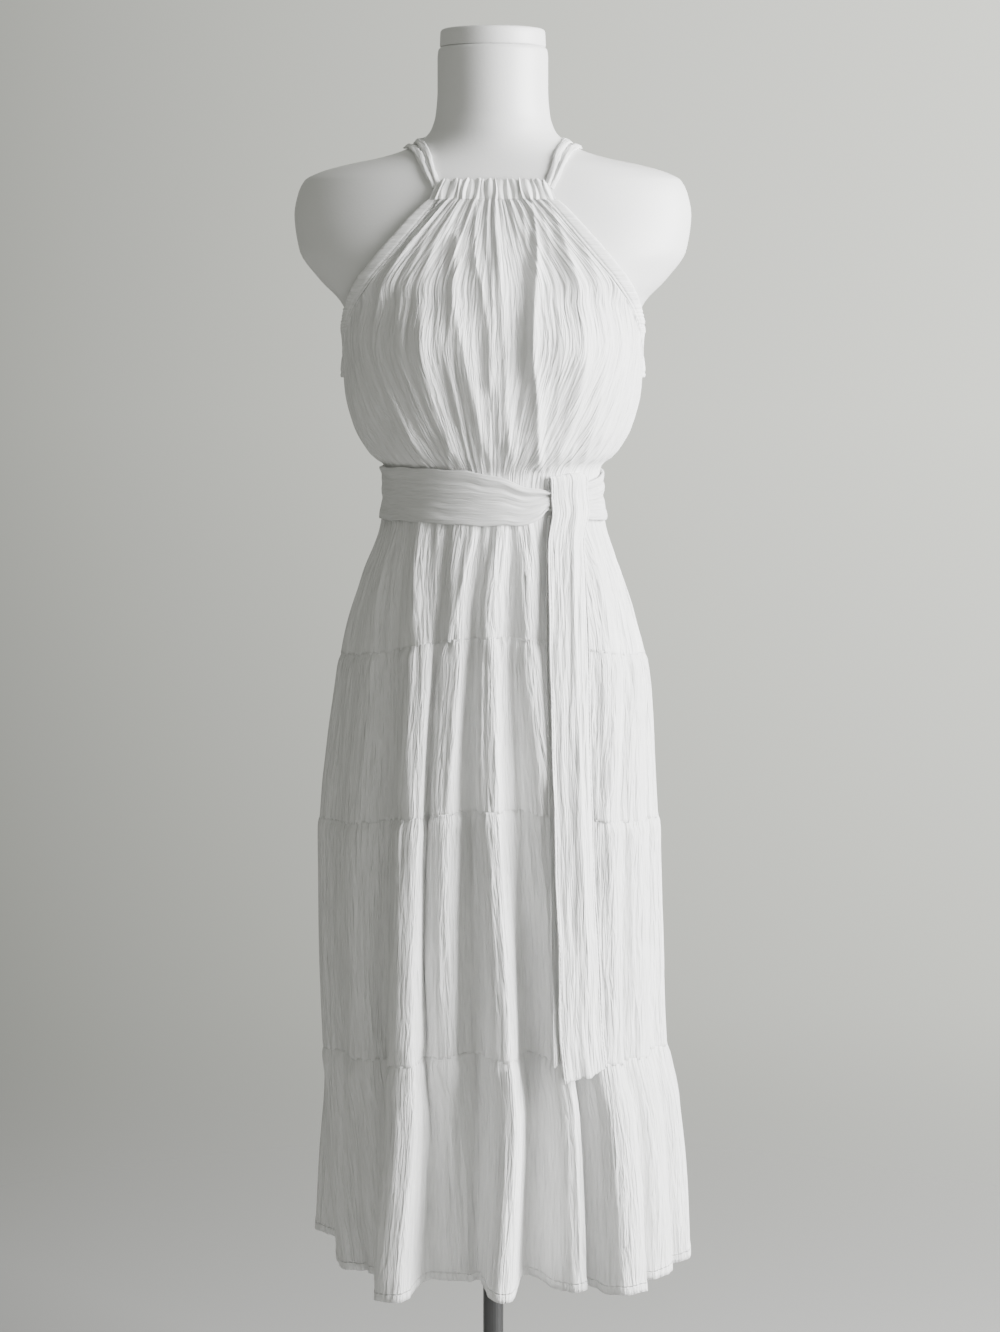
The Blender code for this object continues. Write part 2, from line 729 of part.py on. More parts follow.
def belt():
    """The sash round the waist, pinched where its ends cross."""
    columns = 60
    angles = -180 + np.arange(columns) * 360 / columns
    top = read(BELT, "angle", angles, "top") * MM
    foot = read(BELT, "angle", angles, "foot") * MM
    pinch = fade(np.abs(angles - 32), 0, 34)
    rows = []
    for t in (0.0, 0.3, 0.7, 1.0):
        z = top + (foot - top) * t
        bulge = (0.9 * pinch * (1 if 0 < t < 1 else 0.3)) * MM
        rows.append(belt_point(angles, z, 4.15 * MM + bulge))
    cloth("belt", np.array(rows), BELT_CLOTH, gauze)


def tail_rows(source, heights, out):
    """Rows across a hanging end of the belt, lying over the skirt's outer form."""
    u = np.linspace(0, 1, 6)
    rows = []
    for z in heights:
        left = read(source, "height", z, "left") * MM
        right = read(source, "height", z, "right") * MM
        x = left + (right - left) * u
        crease = 0.9 * np.cos(u * math.pi * 4) * fade(z, 1060 * MM, 1095 * MM)
        away = (out + crease + 5 * fade(z, 600 * MM, 900 * MM)) * MM
        rows.append(np.stack([x, skirt_form(x, z) - away, np.full(6, z)], axis=1))
    return rows


def belt_tails():
    """The front end comes up behind the belt, turns over it and hangs. The other hangs behind it."""
    u = np.linspace(0, 1, 6)
    x = 53 * MM + u * 34 * MM
    angle = np.degrees(np.arcsin(x / (106 * MM)))
    rows = []
    # How far the turned-over end stands out from the waist's cloth, up the back of the belt and
    # down its front.
    hook = ((1116, 1.0), (1124, 1.0), (1131, 1.1), (1136, 3.2), (1131, 6.2), (1117, 6.8), (1100, 6.6))
    for z, out in hook:
        height = np.full(6, z * MM)
        rows.append(belt_point(angle, height, out * MM - 2.2 * MM * fade(height, 1142 * MM, 1132 * MM)))
    shared = [1075, 1040, 985, 920, 850, 780, 710, 650, 600]
    hanging = tail_rows(FRONT_TAIL, np.array(shared + [558]) * MM, 7.2)
    hanging[-1][:, 2] += np.linspace(-4, 4, 6) * MM
    hanging_sheet("belt_tail_front", np.array(rows + hanging), TAIL_CLOTH, gauze)
    hanging = tail_rows(BACK_TAIL, np.array([1099] + shared + [573]) * MM, 3.2)
    hanging[-1][:, 2] += np.linspace(-3, 3, 6) * MM
    hanging_sheet("belt_tail_back", np.array(hanging), TAIL_CLOTH, gauze)


for old in list(bpy.data.objects):
    bpy.data.objects.remove(old, do_unlink=True)
parts = bpy.data.collections.new("maxi_dress_on_form")
bpy.context.scene.collection.children.link(parts)
gauze = material("crinkled cotton gauze", (0.80, 0.80, 0.79), 0.85)
white_shell = material("white fibreglass", (0.78, 0.78, 0.77), 0.45)
steel = material("brushed steel", (0.32, 0.32, 0.33), 0.35, 1.0)

form = form_and_stand()
bpy.context.view_layer.update()
form_surface = BVHTree.FromObject(form, bpy.context.evaluated_depsgraph_get())
bodice_front()
bodice_back()
back_band()
armhole_bindings()
neck_casing()
strap("strap_lower", LOWER_STRAP, form_surface)
strap("strap_upper", UPPER_STRAP, form_surface)
skirt_tiers()
belt()
belt_tails()
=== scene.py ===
import math

import bpy
import numpy as np
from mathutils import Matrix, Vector
from mathutils.bvhtree import BVHTree


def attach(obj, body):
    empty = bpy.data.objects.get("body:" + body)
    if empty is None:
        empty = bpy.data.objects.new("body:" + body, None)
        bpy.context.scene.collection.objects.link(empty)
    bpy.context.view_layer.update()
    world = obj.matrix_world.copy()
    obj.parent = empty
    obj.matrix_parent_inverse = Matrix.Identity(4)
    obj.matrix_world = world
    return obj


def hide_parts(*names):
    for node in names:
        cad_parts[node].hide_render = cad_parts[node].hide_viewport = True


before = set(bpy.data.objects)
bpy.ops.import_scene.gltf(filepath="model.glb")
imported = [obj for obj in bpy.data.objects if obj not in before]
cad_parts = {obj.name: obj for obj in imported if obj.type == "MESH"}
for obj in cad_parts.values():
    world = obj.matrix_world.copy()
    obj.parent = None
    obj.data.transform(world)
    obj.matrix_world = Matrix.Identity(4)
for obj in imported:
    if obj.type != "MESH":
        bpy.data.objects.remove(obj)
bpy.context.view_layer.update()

# The steel stand
# A satin steel tube on a round steel plate, with a turned collar that holds the torso. The CAD
# solids already have its shape, so they keep it and get their brushed finish here.
MM = 0.001


def new_material(name, colour, roughness, metallic=0.0):
    """A material, with its node tree and its shader node."""
    made = bpy.data.materials.new(name)
    made.use_nodes = True
    shader = made.node_tree.nodes["Principled BSDF"]
    shader.inputs["Base Color"].default_value = (*colour, 1)
    shader.inputs["Roughness"].default_value = roughness
    shader.inputs["Metallic"].default_value = metallic
    return made, made.node_tree, shader


def node(tree, kind, inputs=(), **settings):
    """A shader node. Each input is a socket to link from, or a value."""
    made = tree.nodes.new(kind)
    for name, value in settings.items():
        setattr(made, name, value)
    for socket, value in dict(inputs).items():
        if isinstance(value, bpy.types.NodeSocket):
            tree.links.new(value, made.inputs[socket])
        else:
            made.inputs[socket].default_value = value
    return made


def maths(tree, operation, *values):
    """The result of a maths node. Each value is a number, or a socket to link from."""
    return node(tree, "ShaderNodeMath", enumerate(values), operation=operation).outputs[0]


def mapped(tree, value, low, high, to_low, to_high, **settings):
    """A value moved from the range low to high into the range to_low to to_high."""
    ends = {"From Min": low, "From Max": high, "To Min": to_low, "To Max": to_high}
    return node(tree, "ShaderNodeMapRange", {"Value": value, **ends}, **settings).outputs[0]


def two_tone(tree, factor, colours, places=(0, 1)):
    """A colour that goes from the first to the second between two places of a factor."""
    ramp = node(tree, "ShaderNodeValToRGB", {"Fac": factor})
    for stop, colour, place in zip(ramp.color_ramp.elements, colours, places):
        stop.color = (*colour, 1)
        stop.position = place
    return ramp.outputs[0]


def carry(piece, kind, *solids):
    """Puts a piece in the place of its solids, on the part's only body."""
    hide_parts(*solids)
    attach(piece, "root")


STEEL_TONES = [(0.095, 0.096, 0.098), (0.165, 0.166, 0.168)]
steel, tree, shader = new_material("satin steel", (0.21, 0.212, 0.215), 0.38, 1.0)
place = node(tree, "ShaderNodeTexCoord").outputs["Object"]
lines = node(tree, "ShaderNodeMapping", {"Vector": place, "Scale": (900, 900, 14)})
brushing = node(tree, "ShaderNodeTexNoise", {"Vector": lines.outputs[0], "Scale": 1.0, "Detail": 3.0})
rough = mapped(tree, brushing.outputs["Fac"], 0, 1, 0.26, 0.46)
tree.links.new(rough, shader.inputs["Roughness"])
smear = node(tree, "ShaderNodeTexNoise", {"Vector": place, "Scale": 18.0, "Detail": 4.0})
tone = two_tone(tree, smear.outputs["Fac"], STEEL_TONES)
tree.links.new(tone, shader.inputs["Base Color"])
bump = node(
    tree, "ShaderNodeBump", {"Height": brushing.outputs["Fac"], "Strength": 0.12, "Distance": 0.0004}
)
tree.links.new(bump.outputs[0], shader.inputs["Normal"])
for name in ("stand_pole", "stand_base"):
    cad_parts[name].data.materials.clear()
    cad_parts[name].data.materials.append(steel)

# The dress form
# A limbless torso, moulded in glass fibre and sprayed satin white, with short shoulder stubs and
# a neck that ends in a separate round cap. The outline follows the solid's table of sections.


def table(columns, rows):
    """The rows of a table, as one array for each named column."""
    values = np.array(rows, float)
    return {name: values[:, i] for i, name in enumerate(columns.split())}


def cubic_weights(t):
    """The weights of two points and of the slopes at them, for a cubic between the two."""
    return 2 * t**3 - 3 * t**2 + 1, t**3 - 2 * t**2 + t, 3 * t**2 - 2 * t**3, t**3 - t**2


def through(x, xs, ys):
    """A smooth curve through points, without overshoot, read at x."""
    x = np.clip(np.asarray(x, float), xs[0], xs[-1])
    step = np.diff(xs)
    slope = np.diff(ys) / step
    tangent = np.zeros(len(xs))
    inner = slope[1:] * slope[:-1] > 0
    steep = 2 * slope[1:] * slope[:-1] / np.where(inner, slope[1:] + slope[:-1], 1)
    tangent[1:-1] = np.where(inner, steep, 0)
    tangent[0], tangent[-1] = slope[0], slope[-1]
    i = np.clip(np.searchsorted(xs, x, side="right") - 1, 0, len(xs) - 2)
    t = (x - xs[i]) / step[i]
    h00, h10, h01, h11 = cubic_weights(t)
    return h00 * ys[i] + h10 * step[i] * tangent[i] + h01 * ys[i + 1] + h11 * step[i] * tangent[i + 1]


def read(source, key, at, value):
    """The value column of a table where its key column is at. A height is given in metres."""
    scale = MM if key == "height" else 1.0
    return through(np.asarray(at, float) / scale, source[key], source[value])


def front_or_back(source, key, at, angle):
    """The front value where an angle, in radians, looks forward, and the back value elsewhere."""
    front, back = read(source, key, at, "front"), read(source, key, at, "back")
    return np.where(np.cos(angle) > 0, front, back)


def fade(x, full, gone):
    """1 at full, 0 at gone and beyond, smoothly between them."""
    t = np.clip((np.asarray(x, float) - gone) / (full - gone), 0, 1)
    return t * t * (3 - 2 * t)


FORM = table("height half_width front back", [
    (840, 141, 92, 104),
    (862, 147, 98, 112),
    (905, 148, 100, 117),
    (950, 142, 98, 113),
    (1005, 130, 92, 101),
    (1050, 115, 85, 86),
    (1085, 103, 81, 76),
    (1115, 98.5, 79, 73),
    (1142, 101, 80.5, 73),
    (1165, 105, 83, 75),
    (1200, 116, 89, 80),
    (1235, 128, 96, 87),
    (1262, 136, 100, 92),
    (1285, 141, 100, 95),
    (1302, 149, 98, 96),
    (1323, 169, 95, 96),
    (1352, 189, 90, 95),
    (1386, 193.5, 80, 90),
    (1405, 190, 75, 86),
    (1419, 183, 70.5, 82),
    (1427, 167, 68, 80),
    (1434, 141, 66, 78),
    (1441, 107, 64, 75),
    (1448, 85.5, 62, 72),
    (1456, 70.5, 60, 68),
    (1467, 60, 58.5, 61),
    (1482, 55.4, 55.5, 56),
    (1505, 53.6, 54.5, 54.5),
    (1535, 53.5, 53.5, 53.5),
    (1545, 52.5, 52.5, 52.5),
])
BUST = {"height": 1262, "reach": 42, "apart": 70, "spread": 46, "form": 20, "cloth": 15}


def body_point(source, angle, z, bust):
    """A point of an oval section. angle is 0 in front and 90 at the +X side."""
    a = np.radians(angle)
    x = read(source, "height", z, "half_width") * np.sin(a)
    depth = front_or_back(source, "height", z, a)
    rise = np.exp(-(((np.asarray(z) / MM - BUST["height"]) / BUST["reach"]) ** 2))
    mounds = sum(np.exp(-(((x - side * BUST["apart"]) / BUST["spread"]) ** 2)) for side in (-1, 1))
    y = -np.cos(a) * depth - bust * rise * mounds * np.clip(np.cos(a) * 3, 0, 1)
    return np.stack(np.broadcast_arrays(x * MM, y * MM, np.asarray(z, float)), axis=-1)


def grid_object(name, grid, finish, uv=None, wrap=False, caps=False):
    """A mesh through a grid of points, rows running down and columns round, facing out.

    uv has one column more than a grid that wraps round.
    """
    rows, columns = grid.shape[:2]
    k, i = np.meshgrid(np.arange(rows - 1), np.arange(columns if wrap else columns - 1), indexing="ij")
    j = (i + 1) % columns
    faces = np.stack(
        [k * columns + i, (k + 1) * columns + i, (k + 1) * columns + j, k * columns + j], axis=-1
    )
    faces = [tuple(face) for face in faces.reshape(-1, 4)]
    if caps:
        faces.append(tuple(range(columns)))
        faces.append(tuple((rows - 1) * columns + np.arange(columns)[::-1]))
    mesh = bpy.data.meshes.new(name)
    mesh.from_pydata([tuple(p) for p in grid.reshape(-1, 3)], [], faces)
    if uv is not None:
        corners = np.stack(
            [uv[k, i], uv[k + 1, i], uv[k + 1, i + 1], uv[k, i + 1]], axis=-2
        ).reshape(-1, 2)
        layer = mesh.uv_layers.new(name="cloth")
        flat = np.zeros((len(mesh.loops), 2), np.float32)
        flat[: len(corners)] = corners
        layer.data.foreach_set("uv", flat.ravel())
    mesh.shade_smooth()
    mesh.materials.append(finish)
    made = bpy.data.objects.new(name, mesh)
    bpy.context.scene.collection.objects.link(made)
    return made


SHELL_TONES = [(0.765, 0.765, 0.76), (0.82, 0.82, 0.815)]
shell, tree, shader = new_material("satin white spray on glass fibre", (0.80, 0.80, 0.79), 0.42)
shader.inputs["Coat Weight"].default_value = 0.12
shader.inputs["Coat Roughness"].default_value = 0.35
place = node(tree, "ShaderNodeTexCoord").outputs["Object"]
cloud = node(tree, "ShaderNodeTexNoise", {"Vector": place, "Scale": 9.0, "Detail": 5.0})
tone = two_tone(tree, cloud.outputs["Fac"], SHELL_TONES, (0.3, 0.75))
tree.links.new(tone, shader.inputs["Base Color"])
peel = node(tree, "ShaderNodeTexNoise", {"Vector": place, "Scale": 420.0, "Detail": 2.0})
sheen = mapped(tree, cloud.outputs["Fac"], 0, 1, 0.36, 0.5)
tree.links.new(sheen, shader.inputs["Roughness"])
bump = node(
    tree, "ShaderNodeBump", {"Height": peel.outputs["Fac"], "Strength": 0.25, "Distance": 0.0004}
)
tree.links.new(bump.outputs[0], shader.inputs["Normal"])

angles = np.arange(112) * 360 / 112
heights = np.concatenate([np.linspace(1545, 1420, 60), np.linspace(1418.5, 840, 110)]) * MM
torso_grid = np.array([body_point(FORM, angles, z, BUST["form"]) for z in heights])
# The rounded edge where the neck is cut, under the cap, and the rounded foot of the torso.
neck_round = fade(heights, 1545 * MM, 1541.5 * MM) ** 2
torso_grid[:, :, :2] *= (1 - 0.035 * neck_round)[:, None, None]
foot_round = fade(heights, 840 * MM, 849 * MM) ** 2
torso_grid[:, :, :2] *= (1 - 0.045 * foot_round)[:, None, None]
torso = grid_object("dress_form_torso", torso_grid, shell, wrap=True, caps=True)
carry(torso, "form_shell", "form_torso")

CAP_PROFILE = [
    (49.4, 1545.3),
    (50.9, 1545.7),
    (51.2, 1547),
    (50.9, 1555),
    (50.6, 1559.6),
    (49.6, 1561.4),
    (47.6, 1562.3),
    (30, 1562.3),
    (1, 1562.3),
]
profile = np.array(CAP_PROFILE[::-1]) * MM
turn = np.radians(angles)
cap_grid = np.array(
    [np.stack([r * np.sin(turn), -r * np.cos(turn), np.full(len(turn), z)], axis=1) for r, z in profile]
)
cap = grid_object("dress_form_neck_cap", cap_grid, shell, wrap=True, caps=True)
edge = cap.modifiers.new("Edge", "BEVEL")
edge.width = 0.0005
edge.segments = 2
carry(cap, "form_shell", "form_neck_cap")

# The gauze
# Crinkled cotton gauze: an open plain weave whose threads shrink unevenly, so that it stands in
# fine irregular pleats along the grain. Each piece of it gets its own material from one group.


def group(name, inputs, outputs):
    """A group of shader nodes, with its input node and its output node."""
    made = bpy.data.node_groups.new(name, "ShaderNodeTree")
    for label, kind, value in inputs:
        socket = made.interface.new_socket(label, in_out="INPUT", socket_type=kind)
        if value is not None:
            socket.default_value = value
    for label, kind in outputs:
        made.interface.new_socket(label, in_out="OUTPUT", socket_type=kind)
    return made, made.nodes.new("NodeGroupInput"), made.nodes.new("NodeGroupOutput")


FLOAT, COLOUR, VECTOR = "NodeSocketFloat", "NodeSocketColor", "NodeSocketVector"
crinkle_group, given, result = group(
    "crinkled gauze",
    [
        ("Cloth place", VECTOR, None),
        ("Crinkle width", FLOAT, 0.004),
        ("Weave", FLOAT, 0.1),
        ("White", COLOUR, (0.9, 0.9, 0.89, 1)),
    ],
    [("Color", COLOUR), ("Roughness", FLOAT), ("Height", FLOAT)],
)
across = maths(crinkle_group, "DIVIDE", 1.0, given.outputs["Crinkle width"])
along = maths(crinkle_group, "MULTIPLY", across, 0.085)
shape = node(crinkle_group, "ShaderNodeCombineXYZ", {"X": across, "Y": along, "Z": 1.0}).outputs[0]
spread = node(
    crinkle_group, "ShaderNodeVectorMath", {0: given.outputs["Cloth place"], 1: shape},
    operation="MULTIPLY",
).outputs[0]
pleats = node(
    crinkle_group, "ShaderNodeTexNoise",
    {"Vector": spread, "Scale": 1.0, "Detail": 3.0, "Roughness": 0.55, "Distortion": 0.5},
)
sharp = node(
    crinkle_group, "ShaderNodeMapRange",
    {"Value": pleats.outputs["Fac"], "From Min": 0.28, "From Max": 0.72},
)
broad = node(crinkle_group, "ShaderNodeTexNoise", {"Vector": spread, "Scale": 0.36, "Detail": 1.0})
mixed = maths(crinkle_group, "MULTIPLY_ADD", broad.outputs["Fac"], 1.1, sharp.outputs[0])
threads = node(
    crinkle_group, "ShaderNodeVectorMath", {0: given.outputs["Cloth place"], 1: (1500, 1500, 0)},
    operation="MULTIPLY",
).outputs[0]
weave = node(
    crinkle_group, "ShaderNodeTexVoronoi", {"Vector": threads, "Scale": 1.0, "Randomness": 0.35}
)
woven = maths(crinkle_group, "MULTIPLY_ADD", weave.outputs["Distance"], given.outputs["Weave"], mixed)
# Painted shade and painted highlight: the white is darker where the crinkle is low, in the hollows of
# the pleats, and a little lighter on their crests.
shade = mapped(crinkle_group, mixed, 0.3, 1.5, 0.87, 1.03)
tint = node(
    crinkle_group, "ShaderNodeVectorMath", {0: given.outputs["White"], "Scale": shade},
    operation="SCALE",
).outputs[0]
crinkle_group.links.new(tint, result.inputs["Color"])
matt = mapped(crinkle_group, broad.outputs["Fac"], 0, 1, 0.82, 0.95)
crinkle_group.links.new(matt, result.inputs["Roughness"])
crinkle_group.links.new(woven, result.inputs["Height"])

stitch_group, given, result = group(
    "row of stitches",
    [("Across", FLOAT, 0.0), ("Along", FLOAT, 0.0), ("Line", FLOAT, 0.0), ("Pitch", FLOAT, 0.0028)],
    [("Sunk", FLOAT)],
)
away = maths(stitch_group, "SUBTRACT", given.outputs["Across"], given.outputs["Line"])
away = maths(stitch_group, "ABSOLUTE", away)
near = mapped(stitch_group, away, 0.0, 0.0011, 1.0, 0.0)
beat = maths(stitch_group, "DIVIDE", given.outputs["Along"], given.outputs["Pitch"])
beat = maths(stitch_group, "PINGPONG", beat, 1.0)
beat = mapped(stitch_group, beat, 0.1, 0.6, 0.35, 1.0)
sunk = maths(stitch_group, "MULTIPLY", near, beat)
stitch_group.links.new(sunk, result.inputs["Sunk"])

# The sash's band gets a greyer white than the rest of the same gauze, as painted shade on the band that
# is wound tight round the waist. GAUZE_WALL is the thickness of one layer, and GATHER_WIDTH is the half
# width of a gather as a share of its spacing.
GAUZE_WHITE = (0.885, 0.885, 0.88, 1)
SHADED_SASH_WHITE = (0.745, 0.745, 0.74, 1)
GAUZE_WALL = 0.9 * MM
GATHER_WIDTH = 0.42


def gauze(name, width, depth, stitches=(), swap=False, white=GAUZE_WHITE):
    """A gauze material. stitches are (u or v, place, pitch) of rows of stitches on the piece."""
    made, tree, shader = new_material(name, white[:3], 0.9)
    shader.inputs["Sheen Weight"].default_value = 0.12
    shader.inputs["Sheen Roughness"].default_value = 0.6
    shader.inputs["Specular IOR Level"].default_value = 0.25
    uv = node(tree, "ShaderNodeUVMap", uv_map="cloth").outputs[0]
    split = node(tree, "ShaderNodeSeparateXYZ", {"Vector": uv})
    u, v = split.outputs["X"], split.outputs["Y"]
    if swap:
        uv = node(tree, "ShaderNodeCombineXYZ", {"X": v, "Y": u}).outputs[0]
    cloth = node(tree, "ShaderNodeGroup", node_tree=crinkle_group)
    tree.links.new(uv, cloth.inputs["Cloth place"])
    cloth.inputs["Crinkle width"].default_value = width
    cloth.inputs["White"].default_value = white
    height = cloth.outputs["Height"]
    for direction, line, pitch in stitches:
        row = node(tree, "ShaderNodeGroup", node_tree=stitch_group)
        tree.links.new(u if direction == "u" else v, row.inputs["Across"])
        tree.links.new(v if direction == "u" else u, row.inputs["Along"])
        row.inputs["Line"].default_value = line
        row.inputs["Pitch"].default_value = pitch
        height = maths(tree, "MULTIPLY_ADD", row.outputs["Sunk"], -0.7, height)
    bump = node(tree, "ShaderNodeBump", {"Height": height, "Strength": 1.0, "Distance": depth})
    tree.links.new(cloth.outputs["Color"], shader.inputs["Base Color"])
    tree.links.new(cloth.outputs["Roughness"], shader.inputs["Roughness"])
    tree.links.new(bump.outputs[0], shader.inputs["Normal"])
    return made


def normals(grid, wrap):
    """The outward unit normals of a grid of points."""
    if wrap:
        along = np.roll(grid, -1, axis=1) - np.roll(grid, 1, axis=1)
    else:
        along = np.gradient(grid, axis=1)
    out = np.cross(np.gradient(grid, axis=0), along)
    return out / np.maximum(np.linalg.norm(out, axis=-1, keepdims=True), 1e-12)


def raised(grid, relief, wrap=False):
    """The grid with its points moved out along the normals, by the relief in millimetres."""
    return grid + normals(grid, wrap) * (relief * MM)[..., None]


def distance_along(points, axis=0):
    """How far along its row each point is, in metres."""
    steps = np.diff(points, axis=axis, prepend=np.take(points, [0], axis=axis))
    return np.cumsum(np.linalg.norm(steps, axis=-1), axis=axis)


def distance_across(grid):
    """How far from the middle of its row each point of a grid is, in metres."""
    along = distance_along(grid, 1)
    return along - along[:, -1:] / 2


def ripples(u, v, width, length, seed):
    """Soft uneven waves across u that slowly change along v. The result stays within about 1."""
    rng = np.random.default_rng(seed)
    total = 0
    for _ in range(7):
        phase = u / width * rng.uniform(0.6, 1.5) + v / length * rng.uniform(-1, 1)
        total = total + np.sin(2 * math.pi * phase + rng.uniform(0, 6.28))
    return total / 2.6


def ridge(distance, width):
    """A soft ridge with a narrow top and wide feet."""
    d = np.abs(distance) / width
    return np.exp(-(d**1.5))


def cloth_piece(name, grid, uv, thickness, finish, stands_for, wrap=False, **cut):
    """One sewn piece: a thin sheet on the grid, given its thickness inwards, and put in the place of
    its solids.
    """
    made = grid_object(name, grid, finish, uv, wrap)
    wall = made.modifiers.new("Cloth", "SOLIDIFY")
    wall.thickness = thickness
    wall.offset = -1
    carry(made, "gauze", *stands_for)


# The skirt
# Four loops of gauze, each about a third wider than the one above and gathered to its lower edge
# with a narrow seam. The lowest ends in a turned and stitched hem. All share the long folds.
SKIRT = table("level half_width front back shift", [
    (0.0, 104, 85, 78.5, 0),
    (0.2, 109, 91, 85, -1),
    (0.5, 127, 104, 104, -1),
    (0.75, 140.5, 111, 118, -1),
    (1.0, 150, 117, 127, 0),
    (1.5, 160.5, 127, 138, -2),
    (2.0, 167.5, 135, 146, -4),
    (2.5, 172.5, 141, 151, -4),
    (3.0, 176, 146, 154, -3),
    (3.25, 183, 149, 157, 2),
    (3.6, 189, 151, 160, 4),
    (4.0, 192, 152, 163, 5),
])
SEAMS = table(
    "level front side back",
    [
        (0, 1115, 1115, 1115),
        (1, 984, 955, 965),
        (2, 818, 789, 797),
        (3, 575, 552, 559),
        (4, 337, 329, 333),
    ],
)
FOLDS = table(
    "waist seam1 seam2 seam3 hem half_width crest_mid crest_hem valley_mid valley_hem valley_at", [
    (-162, -163, -164, -163, -160, 4.0, 1.00, 1.03, 0.91, 0.74, 0.50),
    (-138, -139, -139, -139, -138, 3.5, 1.00, 0.99, 0.92, 0.76, 0.52),
    (-112, -112, -113, -113, -114, 4.0, 1.00, 1.10, 0.94, 0.80, 0.45),
    (-85, -88, -90, -88, -78, 6.0, 1.01, 0.87, 0.95, 0.77, 0.36),
    (-68, -61, -57, -58, -57, 5.0, 1.00, 0.80, 0.89, 0.77, 0.30),
    (-45, -34, -30.5, -31.5, -36.5, 4.5, 1.05, 1.11, 0.92, 0.70, -0.06),
    (-14, -18, -19, -20.5, -22.5, 3.5, 1.01, 0.66, 0.87, 0.63, 0.44),
    (4, -2, 1, 6, 1, 3.0, 1.02, 1.00, 0.86, 0.58, 0.55),
    (19, 17.5, 24, 30, 33.5, 2.5, 1.01, 0.91, 0.87, 0.79, 0.46),
    (59, 56, 49.5, 46.5, 48, 4.4, 1.03, 1.07, 0.93, 0.90, 0.50),
    (78, 75, 70, 67, 68, 4.0, 0.99, 0.99, 0.95, 0.88, 0.55),
    (92, 90, 90, 90, 89, 5.0, 1.01, 1.02, 0.94, 0.83, 0.55),
    (116, 114, 113, 113, 114, 4.0, 1.00, 1.00, 0.92, 0.77, 0.48),
    (138, 137, 136, 137, 138, 3.5, 1.00, 1.04, 0.91, 0.73, 0.52),
    (158, 158, 158, 158, 157, 3.0, 1.00, 0.98, 0.92, 0.75, 0.50),
    (179, 178, 177, 178, 179, 3.5, 1.00, 1.04, 0.91, 0.74, 0.50),
])
# Creases of the front that run on the long folds: where each starts and ends, across and up.
SKIRT_CREASES = table("x_top z_top x_foot z_foot height width", [
    (-15, 1096, -41, 985, 2.6, 4.0),
    (12, 1100, 7, 988, 2.4, 3.6),
    (36, 1092, 40, 985, 3.6, 5.5),
    (-71, 1092, -83, 985, 2.6, 7.0),
    (-80, 1092, -98, 980, -2.4, 4.5),
    (-62, 1092, -76, 990, 2.0, 4.0),
    (-50, 1095, -58, 1000, 1.8, 3.5),
    (-93, 1085, -124, 985, 2.2, 5.0),
    (-84, 1090, -108, 1010, 1.8, 4.5),
    (92, 1090, 106, 1010, 2.4, 4.0),
    (98, 1080, 126, 985, 2.2, 5.0),
    (88, 1090, 93, 985, -2.4, 5.0),
    (-82, 978, -86, 818, 4.2, 8.0),
    (-99, 975, -104, 818, -2.6, 5.0),
    (-43, 978, -57, 822, 2.6, 3.5),
    (-30, 970, -40, 830, 2.0, 4.0),
    (7, 980, 3, 822, 2.8, 4.0),
    (27, 978, 36, 820, 2.4, 4.0),
    (41, 978, 56, 835, 4.4, 6.5),
    (-141, 955, -149, 815, 2.8, 5.0),
    (-113, 965, -120, 830, 1.8, 6.0),
    (101, 975, 104, 822, -3.0, 5.0),
    (117, 960, 118, 820, 2.6, 4.5),
    (137, 955, 143, 820, 2.0, 5.0),
    (-136, 795, -139, 575, 2.8, 5.5),
    (-150, 795, -155, 575, 2.4, 4.5),
    (-117, 800, -123, 580, 2.2, 4.5),
    (-88, 812, -92, 575, 4.2, 8.0),
    (-106, 812, -110, 575, -2.6, 5.0),
    (-62, 812, -68, 575, 3.0, 4.0),
    (-48, 812, -52, 620, 2.0, 4.5),
    (-27, 812, -29, 575, -2.2, 8.0),
    (-14, 812, -17, 585, 2.6, 4.5),
    (36, 812, 34, 590, 3.0, 4.0),
    (106, 812, 110, 600, -3.2, 5.0),
    (118, 805, 121, 565, 3.0, 4.0),
    (134, 800, 140, 600, 2.4, 4.0),
    (142, 790, 152, 570, 2.6, 5.0),
    (-141, 550, -147, 352, 3.4, 5.0),
    (-124, 552, -130, 350, 2.6, 4.5),
    (-104, 556, -112, 345, 3.0, 5.0),
    (-96, 560, -108, 340, 3.4, 9.0),
    (-90, 556, -96, 345, 2.0, 4.0),
    (-61, 560, -62, 460, 2.2, 6.0),
    (-30, 562, -32, 420, -2.6, 8.0),
    (-12, 562, -15, 345, 3.0, 4.0),
    (36, 560, 43, 350, 3.2, 4.0),
    (64, 556, 67, 350, 2.6, 4.5),
    (133, 548, 146, 345, 3.4, 5.0),
    (157, 545, 172, 350, 2.8, 5.0),
])


def seam_height(level, angle):
    """The height of a seam, or of a level between two, at an angle round the skirt."""
    c = np.cos(angle)
    side = read(SEAMS, "level", level, "side")
    end = front_or_back(SEAMS, "level", level, angle)
    return (side + (end - side) * c * c) * MM


